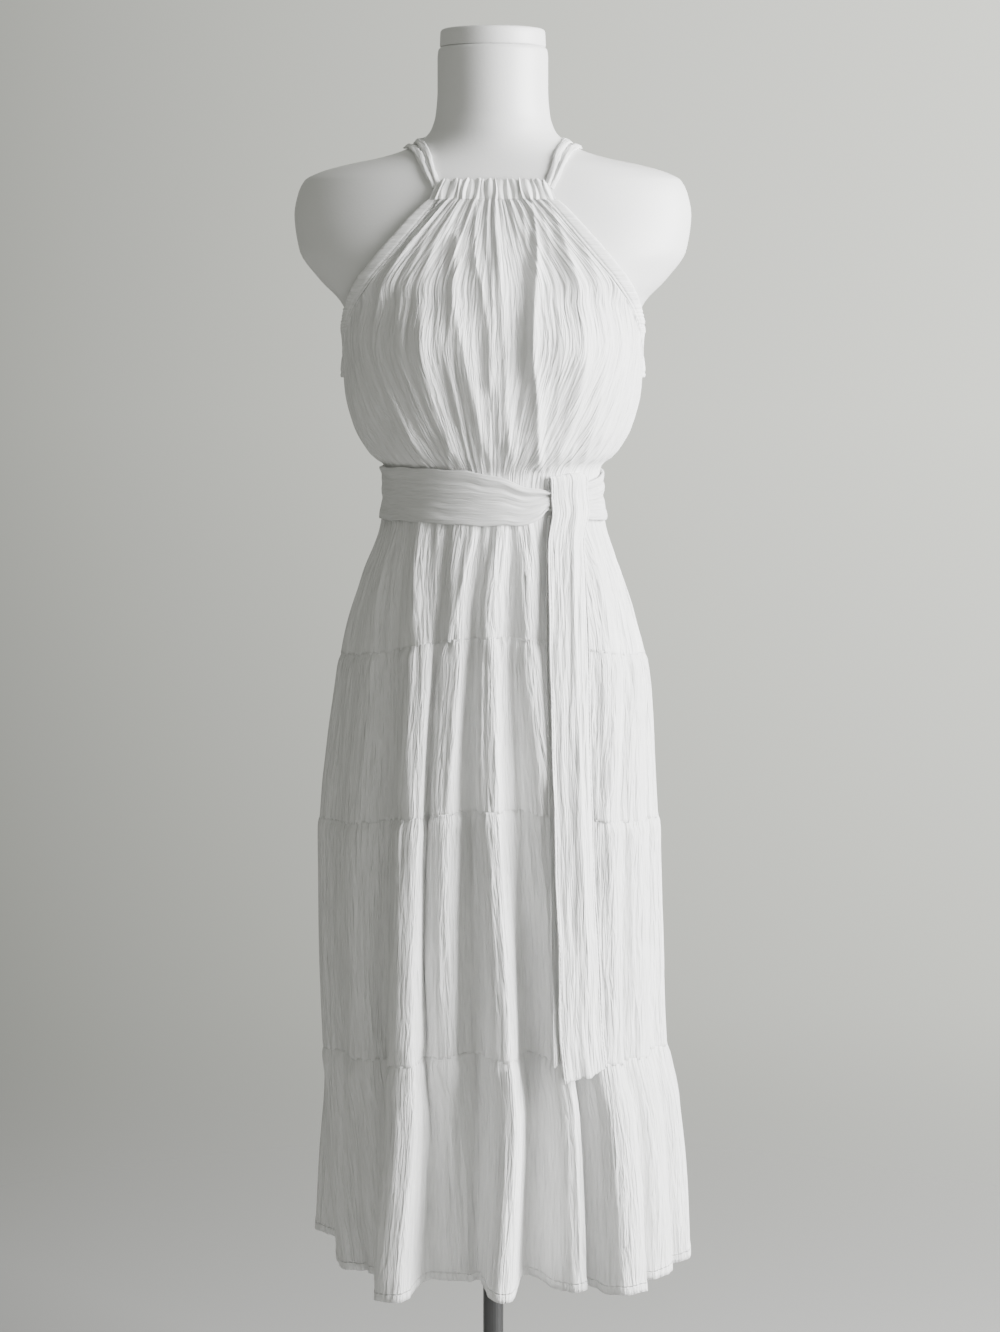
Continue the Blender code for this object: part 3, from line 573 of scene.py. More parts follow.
def fold_controls(level):
    """The closed run of control points, crest, crest, valley, of the skirt's section at a level."""
    stations = np.array([0.0, 1, 2, 3, 4])
    columns = np.array([FOLDS[k] for k in ("waist", "seam1", "seam2", "seam3", "hem")])
    crest = np.array([through(level, stations, column) for column in columns.T])
    ends = np.array([0.0, 2, 4])
    count = len(crest)

    def share(name, at_waist):
        """How far out each crest or valley lies, as a share of the plain oval."""
        rows = zip(FOLDS[name + "_mid"], FOLDS[name + "_hem"])
        return np.array([through(level, ends, np.array([at_waist, mid, hem])) for mid, hem in rows])

    crest_share, valley_share = share("crest", 1.0), share("valley", 0.985)
    following = np.append(crest[1:], crest[0] + 360)
    place = 0.5 + (FOLDS["valley_at"] - 0.5) * (level / 4) ** 1.5
    half = FOLDS["half_width"] * (0.55 + 0.45 * level / 4)
    angle = np.empty(count * 3)
    out = np.empty(count * 3)
    angle[0::3], out[0::3] = crest - half, crest_share
    angle[1::3], out[1::3] = crest + half, crest_share
    angle[2::3], out[2::3] = crest + place * (following - crest), valley_share
    a = np.radians(angle)
    depth = front_or_back(SKIRT, "level", level, a)
    half_width = read(SKIRT, "level", level, "half_width")
    radius = out / np.sqrt((np.sin(a) / half_width) ** 2 + (np.cos(a) / depth) ** 2)
    x = radius * np.sin(a) + read(SKIRT, "level", level, "shift")
    return np.stack([x, -radius * np.cos(a)], axis=1) * MM


def closed_curve(points, samples):
    """A centripetal Catmull-Rom curve through a closed run, with that many samples per span."""
    p0, p1, p2, p3 = (np.roll(points, k, axis=0) for k in (1, 0, -1, -2))
    pairs = ((p0, p1), (p1, p2), (p2, p3))
    t01, t12, t23 = (np.linalg.norm(b - a, axis=1)[:, None] ** 0.5 for a, b in pairs)
    m1 = p2 - p1 + t12 * ((p1 - p0) / t01 - (p2 - p0) / (t01 + t12))
    m2 = p2 - p1 + t12 * ((p3 - p2) / t23 - (p3 - p1) / (t12 + t23))
    t = (np.arange(samples) / samples)[None, :, None]
    h00, h10, h01, h11 = cubic_weights(t)
    return h00 * p1[:, None] + h10 * m1[:, None] + h01 * p2[:, None] + h11 * m2[:, None]


def clear_of_form(points, clear):
    """Moves points straight out from the pole's axis until they are that far off the torso."""
    x, y, z = points[..., 0], points[..., 1], points[..., 2]
    angle = np.arctan2(x, -y)
    width = read(FORM, "height", z, "half_width") * MM
    depth = front_or_back(FORM, "height", z, angle) * MM
    least = 1 / np.sqrt((np.sin(angle) / width) ** 2 + (np.cos(angle) / depth) ** 2) + clear
    least = least * fade(z, 835 * MM, 780 * MM)
    radius = np.hypot(x, y)
    grown = np.maximum(radius, least) / radius
    return np.stack([x * grown, y * grown, z], axis=-1)


def skirt_rows(levels):
    """The skirt's sections at some levels. The side of each fold gets fewer points than its crest."""
    rows = []
    for level in levels:
        spans = np.roll(closed_curve(fold_controls(level), 12), 1, axis=0).reshape(-1, 3, 12, 2)
        section = np.concatenate([spans[:, 0], spans[:, 1, ::2], spans[:, 2]], axis=1).reshape(-1, 2)
        angle = np.arctan2(section[:, 0], -section[:, 1])
        rows.append(np.column_stack([section, seam_height(level, angle)]))
    return clear_of_form(np.array(rows), 5.5 * MM)


# For each tier: its width and length as cut, and how deep and how far apart its gathers are.
TIERS = table(
    "width length gather_depth gather_step rows",
    [
        (0.90, 0.165, 2.3, 8, 54),
        (1.20, 0.185, 2.1, 8.5, 60),
        (1.55, 0.260, 2.4, 9, 66),
        (2.00, 0.250, 2.8, 10, 66),
    ],
)
for tier in range(4):
    t = np.linspace(0, 1, int(TIERS["rows"][tier])) ** 1.25
    t[0] = -0.012 if tier else 0.0
    base = skirt_rows(tier + np.maximum(t, 0))
    base[0, :, 2] += (2.0 if tier else -0.3) * MM
    ring = np.vstack([base[len(t) // 2], base[len(t) // 2][:1]])
    around = distance_along(ring[:, :2])
    length = TIERS["length"][tier]
    u, v = np.meshgrid(around[:-1], np.maximum(t, 0) * length)
    rng = np.random.default_rng(40 + tier)
    relief = np.zeros(u.shape)
    # The gathers under the seam: uneven in depth, spacing and length.
    at = 0.0
    while at < around[-1]:
        step = TIERS["gather_step"][tier] * MM * rng.uniform(0.6, 1.45)
        run = rng.choice([0.022, 0.04, 0.07, 0.11], p=[0.35, 0.3, 0.2, 0.15]) * rng.uniform(0.8, 1.2)
        deep = TIERS["gather_depth"][tier] * rng.uniform(0.5, 1.2) * (0.8 + run * 4)
        # The first tier's gathers start under the belt, so they run on further below it.
        run *= 1.5 if tier == 0 else 1.0
        lean = rng.uniform(-0.12, 0.12)
        gap = (u - at - lean * v + around[-1] / 2) % around[-1] - around[-1] / 2
        relief += deep * ridge(gap, step * GATHER_WIDTH * (1 + v / 0.09)) * fade(v, 0.25 * run, run)
        at += step
    relief *= 0.35 + 0.65 * fade(v, 0.009, 0.0)
    # Creases that run down the cloth all round, and the ones placed on the front.
    for _ in range(46 + 14 * tier):
        centre, lean = rng.uniform(0, around[-1]), rng.uniform(-0.07, 0.07)
        top, foot = sorted(rng.uniform(-0.2, 1.2, 2) * length)
        gap = (u - centre - lean * v + around[-1] / 2) % around[-1] - around[-1] / 2
        window = fade(v, top + 0.03, top) * fade(v, foot - 0.03, foot) if foot - top > 0.06 else 0
        relief += rng.uniform(-1.3, 1.7) * ridge(gap, rng.uniform(3.0, 6.5) * MM) * window
    x, y, z = base[..., 0] / MM, base[..., 1], base[..., 2] / MM
    for row in zip(*SKIRT_CREASES.values()):
        x_top, z_top, x_foot, z_foot, height, width = row
        if tier <= np.interp(-(z_top + z_foot) / 2, -SEAMS["front"], SEAMS["level"]) < tier + 1:
            line = x_top + (x_foot - x_top) * (z_top - z) / (z_top - z_foot)
            window = fade(z, z_top - 18, z_top + 4) * fade(z, z_foot + 18, z_foot - 6)
            relief += height * ridge(x - line, width) * window * (y < 0)
            relief += 1.3 * height * ridge(x + 0.85 * line - 9, 1.3 * width) * window * (y > 0)
    relief = 0.72 * relief + 0.6 * ripples(u, v, 0.017, 0.30, 7 + tier)
    relief += 0.3 * ripples(u, v, 0.0085, 0.16, 17 + tier)
    # The cloth dips into the seam above, puffs out under it, and is held flat by the seam below.
    puff = 0.4 * fade(v, 0.016, 0.003) * fade(v, 0.016, 0.06)
    relief = relief * fade(v, 0.008, -0.008) - 0.4 * fade(v, -0.003, 0.006) + puff
    if tier < 3:
        flat = fade(v, length - 0.001, length - 0.012)
        relief = relief * (1 - 0.25 * flat) + 0.4 * flat * ripples(u, v, 0.009, 0.1, 27 + tier)
    else:
        hem = fade(v, length - 0.0095, length - 0.0125)
        relief += 0.7 * hem
    grid = raised(base, relief, True)
    if tier == 3:
        swing = 1.6 * MM * ripples(u, v * 0, 0.11, 1, 5) + 0.6 * MM * ripples(u, v * 0, 0.03, 1, 6)
        grid[..., 2] += swing * fade(v, length, length - 0.12)
        stitches = [("v", length - 0.009, 0.0028)]
    else:
        stitches = []
    if tier == 0:
        grid[:4, :, :2] = base[:4, :, :2]
    grid = clear_of_form(grid, 3.0 * MM)
    u_edge, v_edge = np.meshgrid(around, np.maximum(t, 0) * length)
    finish = gauze(f"gauze of tier {tier + 1}", 3.8 * MM, 0.0021, stitches)
    cloth_piece(
        f"tier_{tier + 1}", grid, np.stack([u_edge, v_edge], axis=-1), GAUZE_WALL, finish,
        [f"skirt_tier_{tier + 1}"], wrap=True, flat=(TIERS["width"][tier], length), held="gathered",
        rests_on=["bodice_front" if tier == 0 else f"tier_{tier}"],
    )

# The bodice front
# One wide panel of gauze, drawn up on the casing at the neck and gathered into the waist seam,
# where it blouses over the belt. Long soft folds run from the neck over the bust to the waist.
BODICE = table("height half_width front back", [
    (1115, 104.5, 85.5, 78.5),
    (1138, 106, 87.5, 79.5),
    (1144, 109.5, 91, 81),
    (1150, 117.5, 97, 84),
    (1158, 125, 102, 87),
    (1181, 137.5, 109, 91),
    (1216, 146, 112, 95),
    (1260, 148.5, 111, 98),
    (1275, 149.5, 110, 99),
    (1299, 154, 107, 101),
    (1323, 176, 103, 102),
    (1352, 195, 96.5, 101),
    (1386, 199, 86.5, 96),
    (1405, 195.5, 81, 92),
    (1420, 188, 76.5, 88),
])
ARMHOLE = table("height reach binding", [
    (1272, 149.3, 4),
    (1285, 147.5, 8),
    (1297, 144.5, 11),
    (1320, 133, 16),
    (1349, 110, 18),
    (1370, 91, 17),
    (1390, 72, 15),
    (1398, 63, 13),
])
# The heights of the seams and edges of the bodice, in millimetres.
WAIST_Z, BAND_FOOT_Z, BAND_TOP_Z, CASING_FOOT_Z = 1115, 1228, 1272, 1398
ARMHOLE_END_Z = 1272.1
# Where each long ridge of the front lies across at six heights, and how high and wide it is.
RIDGE_HEIGHTS = np.array([1149, 1210, 1262, 1305, 1352, 1400.0])
FRONT_RIDGES = table("waist low bust over chest neck height width top foot", [
    (-61.5, -96, -113, -107, -82, -40, 3.6, 7, 1410, 1150),
    (-78, -112, -127, -124, -101, -49, 2.4, 6, 1410, 1190),
    (-35, -58, -69, -67.5, -56, -33, 3.4, 7, 1410, 1150),
    (-48, -76, -90, -86, -68, -38, 2.2, 5, 1390, 1165),
    (-3.5, -17.5, -29, -37, -34.5, -29, 4.2, 8, 1372, 1150),
    (-0.6, -2.5, -3.4, -8, -16.6, -15, 3.2, 5, 1410, 1215),
    (16.5, 12.7, 10.8, 8, 5, -0.5, 3.2, 5, 1410, 1150),
    (28, 27, 27, 29, 31.5, 26.8, 2.4, 4, 1410, 1350),
    (43, 42, 38, 40, 42, 36, 4.4, 4.2, 1410, 1142),
    (61, 80.5, 87, 83, 70, 51, 4.2, 8, 1410, 1150),
    (50, 62, 64, 60, 54, 44, 2.0, 5, 1400, 1160),
    (86, 101.3, 108, 104, 87, 56, 3.0, 7, 1400, 1150),
    (97, 116, 126, 121, 101, 60, 2.2, 6, 1390, 1160),
    (-20, -36, -49, -52, -47, -31, 1.8, 4, 1400, 1180),
    (8, 4, 2, 0, -4, -7, 1.6, 3.5, 1395, 1160),
])
# The hollow beside the thin bright ridge, and the soft ones at either side of the middle.
FRONT_HOLLOWS = table("waist low bust over chest neck height width top foot", [
    (26, 24, 24, 26, 30, 20, -3.4, 8, 1372, 1170),
    (-20, -40, -50, -53, -46, -28, -2.2, 9, 1370, 1180),
    (52, 60, 62, 60, 54, 40, -2.6, 9, 1372, 1160),
    (-80, -104, -118, -116, -90, -45, -1.8, 8, 1370, 1180),
])
# The gathers under the casing: where each lies across the neck, how high it stands and how far
# down it runs.
NECK_GATHERS = table("place height run", [
    (-55, 2.6, 60),
    (-48.5, 2.2, 34),
    (-41, 3.2, 90),
    (-34, 2.3, 40),
    (-28.5, 3.6, 75),
    (-22, 2.0, 26),
    (-16, 3.4, 62),
    (-9.5, 2.4, 32),
    (-3.8, 3.0, 44),
    (2.4, 3.6, 80),
    (8, 2.2, 30),
    (15.5, 3.2, 56),
    (21.5, 2.4, 36),
    (29, 3.6, 84),
    (35.5, 2.2, 28),
    (41.5, 3.3, 66),
    (48.5, 2.6, 92),
    (55, 2.4, 50),
])


def armhole_angle(z):
    """The angles at which the cut edge and the inner edge of its binding lie at a height."""
    half_width = read(BODICE, "height", z, "half_width")
    reach = np.minimum(read(ARMHOLE, "height", z, "reach"), half_width)
    inner = reach - read(ARMHOLE, "height", z, "binding")
    return np.degrees(np.arcsin(reach / half_width)), np.degrees(np.arcsin(inner / half_width))


def waist_puckers(u, z, seed, girth):
    """Short creases that rise from the belt, where the cloth is gathered into the waist."""
    rng = np.random.default_rng(seed)
    relief = np.zeros(u.shape)
    at = -girth / 2
    while at < girth / 2:
        step = rng.uniform(7, 13)
        run = rng.choice([18, 32, 55, 80], p=[0.3, 0.3, 0.25, 0.15])
        lean = rng.uniform(-0.15, 0.15)
        crease = ridge(u - at - lean * (z - 1140), step * GATHER_WIDTH)
        relief += rng.uniform(0.9, 2.3) * crease * fade(z, 1148, 1148 + run)
        at += step
    return relief


# The angles that two threads of the panel reach at each height. They bow out over the bust.
THREADS = table(
    "height inner outer",
    [
        (1115, 30, 90),
        (1149, 32, 90),
        (1210, 41.5, 90),
        (1262, 49.5, 90),
        (1305, 42.6, 77),
        (1352, 24.9, 45),
        (1399, 11.7, 21),
    ],
)
THREAD_NUMBERS = np.array([0, 0.8, 1.45])
THREAD_TOP = 1399 * MM


def thread_angles(z):
    """The angles of the middle thread and of the two measured ones at a height."""
    return np.array([0, read(THREADS, "height", z, "inner"), read(THREADS, "height", z, "outer")])


def thread_at_neck(x):
    """The number of the thread that lies at x, in millimetres, under the casing."""
    angle = np.degrees(np.arcsin(np.abs(x) / read(BODICE, "height", THREAD_TOP, "half_width")))
    return np.sign(x) * through(angle, thread_angles(THREAD_TOP), THREAD_NUMBERS)


def neck_humps(thread, z):
    """The rounded gathers under the casing, with a narrow groove between each two."""
    at = thread_at_neck(NECK_GATHERS["place"])
    between = (at[1:] + at[:-1]) / 2
    k = np.searchsorted(between, thread)
    gap = thread - at[k]
    left = at - np.concatenate([[2 * at[0] - between[0]], between])
    right = np.concatenate([between, [2 * at[-1] - between[-1]]]) - at
    share = np.clip(np.abs(gap) / np.where(gap > 0, right[k], left[k]), 0, 1)
    return NECK_GATHERS["height"][k] * (1 - share**1.8) * fade(
        z, 1396, 1398 - 1.5 * NECK_GATHERS["run"][k]
    )


def front_folds(x, z, thread):
    """How far the long ridges and the gathers of the neck stand out, in millimetres."""
    ridges = np.zeros(np.shape(x))
    for source in (FRONT_RIDGES, FRONT_HOLLOWS):
        for row in zip(*source.values()):
            *line, height, width, top, foot = row
            centre = through(z, RIDGE_HEIGHTS, np.array(line))
            window = fade(z, top - 14, top) * fade(z, foot + 14, foot - 4)
            narrow = 0.55 + 0.45 * fade(z, 1310, 1395)
            ridges = ridges + 1.1 * height * ridge(x - centre, 1.1 * width * narrow) * window
    humps = neck_humps(thread, z)
    humps = humps * (0.55 + 0.45 * fade(z, 1396, 1366))
    return ridges * (1 - 0.45 * fade(z, 1398, 1340)) + humps * (1 - 0.4 * np.clip(ridges / 4, 0, 1))


levels = np.concatenate(
    [np.linspace(CASING_FOOT_Z + 0.3, 1150, 128), np.linspace(1148.5, WAIST_Z, 22)]
) * MM
t = np.linspace(-1, 1, 300)
grid, thread = [], []
for z in levels:
    if z > BAND_TOP_Z * MM:
        edge = armhole_angle(z)[1] - 0.1
    else:
        soften = fade(z, BAND_TOP_Z * MM, 1242 * MM)
        edge = 90 - 0.1 - (90 - 0.1 - armhole_angle(ARMHOLE_END_Z * MM)[1]) * soften
    grid.append(body_point(BODICE, t * edge, z, BUST["cloth"]))
    thread.append(np.sign(t) * through(np.abs(t) * edge, thread_angles(z), THREAD_NUMBERS))
grid = np.array(grid)
x, z = grid[..., 0] / MM, grid[..., 2] / MM
thread = np.array(thread)
relief = front_folds(x, z, thread)
inside = fade(np.abs(t), 0.985, 1.0)[None, :]
u = distance_across(grid)
grain = thread * 0.14
relief += waist_puckers(u / MM, z, 11, 330) * 0.55
relief += 0.36 * ripples(grain, z * MM, 0.013, 0.25, 3) + 0.18 * ripples(grain, z * MM, 0.006, 0.1, 4)
# The blouson sags a little more in some places than in others.
sag = np.exp(-(((z - 1172) / 20) ** 2)) * ripples(u, z * 0, 0.09, 1, 21) * 1.8
# It lies flat under the belt, whose top edge sinks towards the knot.
belt_top = 1138 - 15 * fade(x, 44, -27) * fade(x, 46, 62)
under_belt = fade(z, belt_top, belt_top + 9)
relief = (relief - 1.6 * fade(z, 1375, CASING_FOOT_Z) + sag) * inside * (1 - 0.85 * under_belt)
relief -= 0.5 * fade(z, 1398.3, 1396.5)
grid = raised(grid, relief)
uv = np.stack([grain, 1.4 - z * MM], axis=-1)
finish = gauze("gauze of the front", 3.6 * MM, 0.0017)
cloth_piece(
    "front_panel", grid, uv, GAUZE_WALL, finish, ["bodice_front"], flat=(0.40, 0.31), held="gathered",
    rests_on=["neck_tube", "dress_form_torso"],
)

# The bodice back
# A low straight back, drawn in by a wide elastic casing along its top edge, and gathered into
# the waist seam as the front is.
rng = np.random.default_rng(8)
t = np.linspace(0, 1, 230)
angles = 90.1 + t * 179.8
levels = np.concatenate(
    [np.linspace(BAND_FOOT_Z + 0.5, 1150, 56), np.linspace(1148.5, WAIST_Z, 20)]
) * MM
grid = np.array([body_point(BODICE, angles, z, 0) for z in levels])
z = grid[..., 2] / MM
u = distance_across(grid)
relief = np.zeros(z.shape)
shirring = []
at = -160.0
while at < 160:
    step, run = rng.uniform(7, 12), rng.choice([20, 40, 70])
    shirring.append((at, step))
    relief += rng.uniform(0.8, 2.0) * ridge(
        u / MM - at, step * GATHER_WIDTH
    ) * fade(z, 1226, 1226 - run)
    at += step
relief += waist_puckers(u / MM, z, 12, 310)
relief += 0.7 * ripples(u, z * MM, 0.016, 0.25, 31) + 0.4 * ripples(u, z * MM, 0.008, 0.1, 32)
ends = fade(np.abs(t - 0.5), 0.488, 0.5)[None, :]
relief = (relief - 1.6) * ends * (1 - 0.85 * fade(z, 1138, 1147))
grid = raised(grid, relief)
cloth_piece(
    "back_panel", grid, np.stack([u, 1.23 - z * MM], axis=-1), GAUZE_WALL,
    gauze("gauze of the back", 4.0 * MM, 0.0011), ["bodice_back"], flat=(0.40, 0.125), held="gathered",
    rests_on=["elastic_band", "dress_form_torso"],
)

levels = np.linspace(BAND_TOP_Z, BAND_FOOT_Z, 30) * MM
t = np.linspace(0, 1, 300)
angles = 90.3 + t * 179.4
grid = np.array([body_point(BODICE, angles, z, 0) for z in levels])
z = grid[..., 2] / MM
u = distance_across(grid)
# Its lower corners curl away from the body a little behind the side seams.
curl = fade(np.abs(angles - 180), 84, 62) * (0.15 + 0.85 * fade(np.abs(angles - 180), 84, 90))
proud = curl * 6.0 * fade(z, BAND_FOOT_Z, BAND_TOP_Z)
relief = np.zeros(z.shape)
for at, step in shirring:
    relief += 1.3 * ridge(u / MM - at + 0.8 * np.sin(z / 9), step * 0.36)
# Three rows of stitches hold the elastic, and the top edge is folded over.
for line in (1266, 1250, 1233):
    relief -= 0.8 * np.exp(-(((z - line) / 1.3) ** 2))
relief += proud - 1.4
relief -= 0.8 * (fade(z, BAND_TOP_Z, BAND_TOP_Z - 2.5) + fade(z, BAND_FOOT_Z, BAND_FOOT_Z + 2))
grid = raised(grid, relief)
finish = gauze(
    "gauze of the elastic band", 3.2 * MM, 0.0008,
    [("v", 0.006, 0.0026), ("v", 0.022, 0.0026), ("v", 0.039, 0.0026)],
)
cloth_piece(
    "elastic_band", grid, np.stack([u, 1.272 - z * MM], axis=-1), 1.6 * MM, finish, ["back_band"],
    flat=(0.40, 0.044), held="gathered", rests_on=["dress_form_torso"],
)

# The armhole bindings
# A bias strip of the same gauze, folded over each cut edge from the casing to the side seam, and
# topstitched, so that it puckers slightly between the stitches.
levels = np.concatenate([np.linspace(CASING_FOOT_Z, 1300, 90), np.linspace(1299, 1243, 60)]) * MM
w = np.linspace(0, 1, 14)
for name, side, number in (("right_armhole_binding", -1, 51), ("left_armhole_binding", 1, 52)):
    grid = []
    for z in levels:
        edge, inner = armhole_angle(max(z, ARMHOLE_END_Z * MM))
        edge = min(edge + 3 * float(fade(z, BAND_TOP_Z * MM, 1285 * MM)), 89.9)
        inner += (89.6 - inner) * float(fade(z, 1242 * MM, BAND_TOP_Z * MM))
        ends = (-edge, -inner - 0.1) if side < 0 else (inner + 0.1, edge)
        grid.append(body_point(BODICE, ends[0] + (ends[1] - ends[0]) * w, z, BUST["cloth"]))
    grid = np.array(grid)
    run = distance_along(grid[:, 7])
    crown = 1 - (2 * w - 1) ** 6
    outer = 1 - w if side < 0 else w
    pucker = 0.45 * ripples(run, run * 0, 0.0065, 1, number) + 0.5 * ripples(
        run, run * 0, 0.021, 1, number + 2
    )
    relief = 1.5 * crown[None, :] - 0.8 + pucker[:, None] * (0.4 + 0.6 * outer[None, :])
    relief -= 0.7 * np.exp(-(((outer - 0.2) / 0.07) ** 2))[None, :]
    relief -= (relief + 0.4) * fade(levels, 1262 * MM, 1285 * MM)[:, None]
    grid = raised(grid, relief)
    uv = np.stack(np.broadcast_arrays(outer[None, :] * 0.013, run[:, None]), axis=-1)
    finish = gauze(
        "gauze of the " + name.replace("_", " "), 3.0 * MM, 0.0005, [("u", 0.0026, 0.0026)], swap=True
    )
    cloth_piece(
        name, grid, uv, 1.9 * MM, finish, ["armhole_binding_" + name.split("_")[0]],
        flat=(0.014, float(run[-1]) * 1.02), held="stretched",
        rests_on=["front_panel", "dress_form_torso"],
    )

# The neck casing
# A folded strip along the top of the front, bunched up tight on the straps that run through it,
# with a row of stitches along its foot.
CASING_HEIGHT = 20
# The form's half width behind the casing, which turns a place across into an angle.
CASING_HALF_WIDTH = 196.5
columns = 420
x = np.linspace(-60, 60, columns)
folds = front_folds(x, np.full(columns, float(CASING_FOOT_Z)), thread_at_neck(x))
humps = neck_humps(thread_at_neck(x), CASING_FOOT_Z) / 3
ends = fade(np.abs(x), 54, 60)
# Round the tube from its foot, up its front and down its back: how high, and how far to the front.
section = [(h, 1.0) for h in np.linspace(0.1, 16.8, 18)]
section += [(18.2, 0.9), (19.2, 0.7), (19.7, 0.45), (19.4, 0.2), (18.4, 0.05)]
section += [(h, 0.0) for h in np.linspace(17, 0.1, 8)]
rings = []
for h, forward in section:
    narrow = 1 - 0.105 * h / CASING_HEIGHT
    wobble = 1.5 * np.sin(x * 0.31 + 1.0) * np.sin(h / CASING_HEIGHT * math.pi)
    wobble = wobble + 1.3 * np.sin(x * 0.47 + 2) * h / CASING_HEIGHT
    across = x * narrow + wobble * ends
    z = 1398.2 + h * (1 - 0.10 * (1 - ends)) + 3.0 * (humps - 0.75) * (h / CASING_HEIGHT) ** 2
    point = body_point(BODICE, np.degrees(np.arcsin(across / CASING_HALF_WIDTH)), z * MM, 0)
    # The channel puffs out above its stitches and the gathers tighten towards its top edge.
    puff = 0.7 * math.sin(min(h / 17, 1) * math.pi) - 0.45 * math.exp(-(((h - 1.6) / 0.8) ** 2))
    front_face = 0.4 + folds * (0.85 + 0.25 * np.sin(h / CASING_HEIGHT * math.pi + x * 0.21)) + puff
    point[:, 1] -= (forward * (front_face * ends + 2.6) - 2.6) * MM
    rings.append(point)
grid = np.array(rings).transpose(1, 0, 2)
around = np.linspace(0, 0.046, len(section) + 1)
uv = np.stack(np.meshgrid(around, x * MM), axis=-1)
casing = grid_object(
    "neck_tube", grid, gauze("gauze of the neck casing", 3.0 * MM, 0.0006, swap=True), uv, wrap=True,
    caps=True,
)
carry(casing, "gauze", "neck_casing")

# The halter straps
# Two narrow tubes of gauze, turned inside out after sewing, which leave the ends of the casing
# and lie over the shoulders and round the nape. They twist a little as they go.
LOWER_STRAP = [
    (-56, -79, 1411),
    (-61.5, -68, 1422),
    (-69.5, -42, 1436.5),
    (-78, -14, 1445),
    (-80.5, 6, 1447.5),
    (-62, 54, 1456),
    (0, 76, 1459),
]
UPPER_STRAP = [
    (-52.5, -77, 1412.5),
    (-56.5, -66, 1424.5),
    (-62.5, -40, 1441),
    (-70, -12, 1452),
    (-71.5, 8, 1455.5),
    (-52, 46, 1465),
    (0, 65, 1468),
]
torso_surface = BVHTree.FromObject(torso, bpy.context.evaluated_depsgraph_get())


def open_curve(points, steps):
    """A Catmull-Rom curve through points, or through rows of points, up to the last of them."""
    points = np.asarray(points, float)
    padded = np.concatenate([[2 * points[0] - points[1]], points, [2 * points[-1] - points[-2]]])
    line = []
    for p0, p1, p2, p3 in zip(padded, padded[1:], padded[2:], padded[3:]):
        square, cube = 2 * p0 - 5 * p1 + 4 * p2 - p3, 3 * p1 - p0 - 3 * p2 + p3
        for t in np.arange(steps) / steps:
            line.append(0.5 * (2 * p1 + (p2 - p0) * t + square * t**2 + cube * t**3))
    line.append(points[-1])
    return np.array(line)


for name, stands_for, route, number in (
    ("halter_strap_lower", "strap_lower", LOWER_STRAP, 61),
    ("halter_strap_upper", "strap_upper", UPPER_STRAP, 62),
):
    half = [np.array(p) * MM for p in route]
    whole = half + [p * (-1, 1, 1) for p in reversed(half[:-1])]
    line, up = [], []
    for point in open_curve(whole, 26):
        on_form, normal, _, _ = torso_surface.find_nearest(Vector(point))
        line.append(np.array(on_form + normal * 2.1 * MM))
        up.append(np.array(normal))
    line, up = np.array(line), np.array(up)
    for _ in range(10):
        line[1:-1] = (line[:-2] + 2 * line[1:-1] + line[2:]) / 4
        up[1:-1] = (up[:-2] + 2 * up[1:-1] + up[2:]) / 4
    ahead = np.gradient(line, axis=0)
    ahead /= np.linalg.norm(ahead, axis=1)[:, None]
    side = np.cross(ahead, up)
    side /= np.linalg.norm(side, axis=1)[:, None]
    up = np.cross(side, ahead)
    run = distance_along(line)
    turn = np.linspace(0, 2 * math.pi, 20, endpoint=False)
    grid = []
    for p, s, n, r in zip(line, side, up, run):
        pleat = 0.16 * np.cos(3 * turn + r * 95) + 0.10 * np.cos(5 * turn - r * 60 + number)
        pinch = 1 + 0.06 * math.sin(r * 260 + number) + 0.05 * math.sin(r * 610)
        spread = 1 - 0.35 * fade(min(r, run[-1] - r), 0.004, 0.05)
        wide = 3.7 * MM * (1 + pleat) * pinch * spread
        tall = 1.6 * MM * (1 + pleat * 0.8) * pinch
        grid.append(p + np.outer(np.cos(turn) * wide, s) + np.outer(np.sin(turn) * tall, n))
    grid = np.array(grid)
    uv = np.stack(np.meshgrid(np.linspace(0, 0.021, 21), run), axis=-1)
    strap = grid_object(
        name, grid, gauze("gauze of the " + name.replace("_", " "), 2.2 * MM, 0.0006), uv, wrap=True,
        caps=True,
    )
    carry(strap, "gauze", stands_for)

# The sash belt
# A long sash of doubled gauze, wound once round the waist. It is crushed into soft folds that
# all run into the place where its ends cross.
BELT = table("angle top foot", [
    (-180, 1139, 1090),
    (-90, 1141, 1090),
    (-45, 1144, 1092),
    (-15, 1143, 1091),
    (3, 1136, 1090),
    (10, 1132, 1090.5),
    (17, 1127.5, 1092),
    (24, 1124, 1095.5),
    (29, 1122, 1103),
    (35, 1124, 1104),
    (44, 1130, 1100),
    (56, 1129, 1093),
    (82, 1134, 1089),
    (110, 1138, 1090),
    (180, 1139, 1090),
])
# Where the ends cross, and the belt's mean radius, in metres.
KNOT_ANGLE = 33
BELT_RADIUS = 0.105
# The folds of the belt: where each lies between its top, 0, and its foot, 1, far from the knot
# and near it, and how high and how wide it is.
BELT_FOLDS = table(
    "far near height width",
    [
        (0.04, 0.12, 1.5, 0.07),
        (0.17, 0.28, -0.9, 0.04),
        (0.24, 0.38, 0.9, 0.06),
        (0.38, 0.50, 0.7, 0.05),
        (0.53, 0.62, 1.1, 0.07),
        (0.68, 0.74, 0.7, 0.05),
        (0.93, 0.90, 0.9, 0.05),
    ],
)


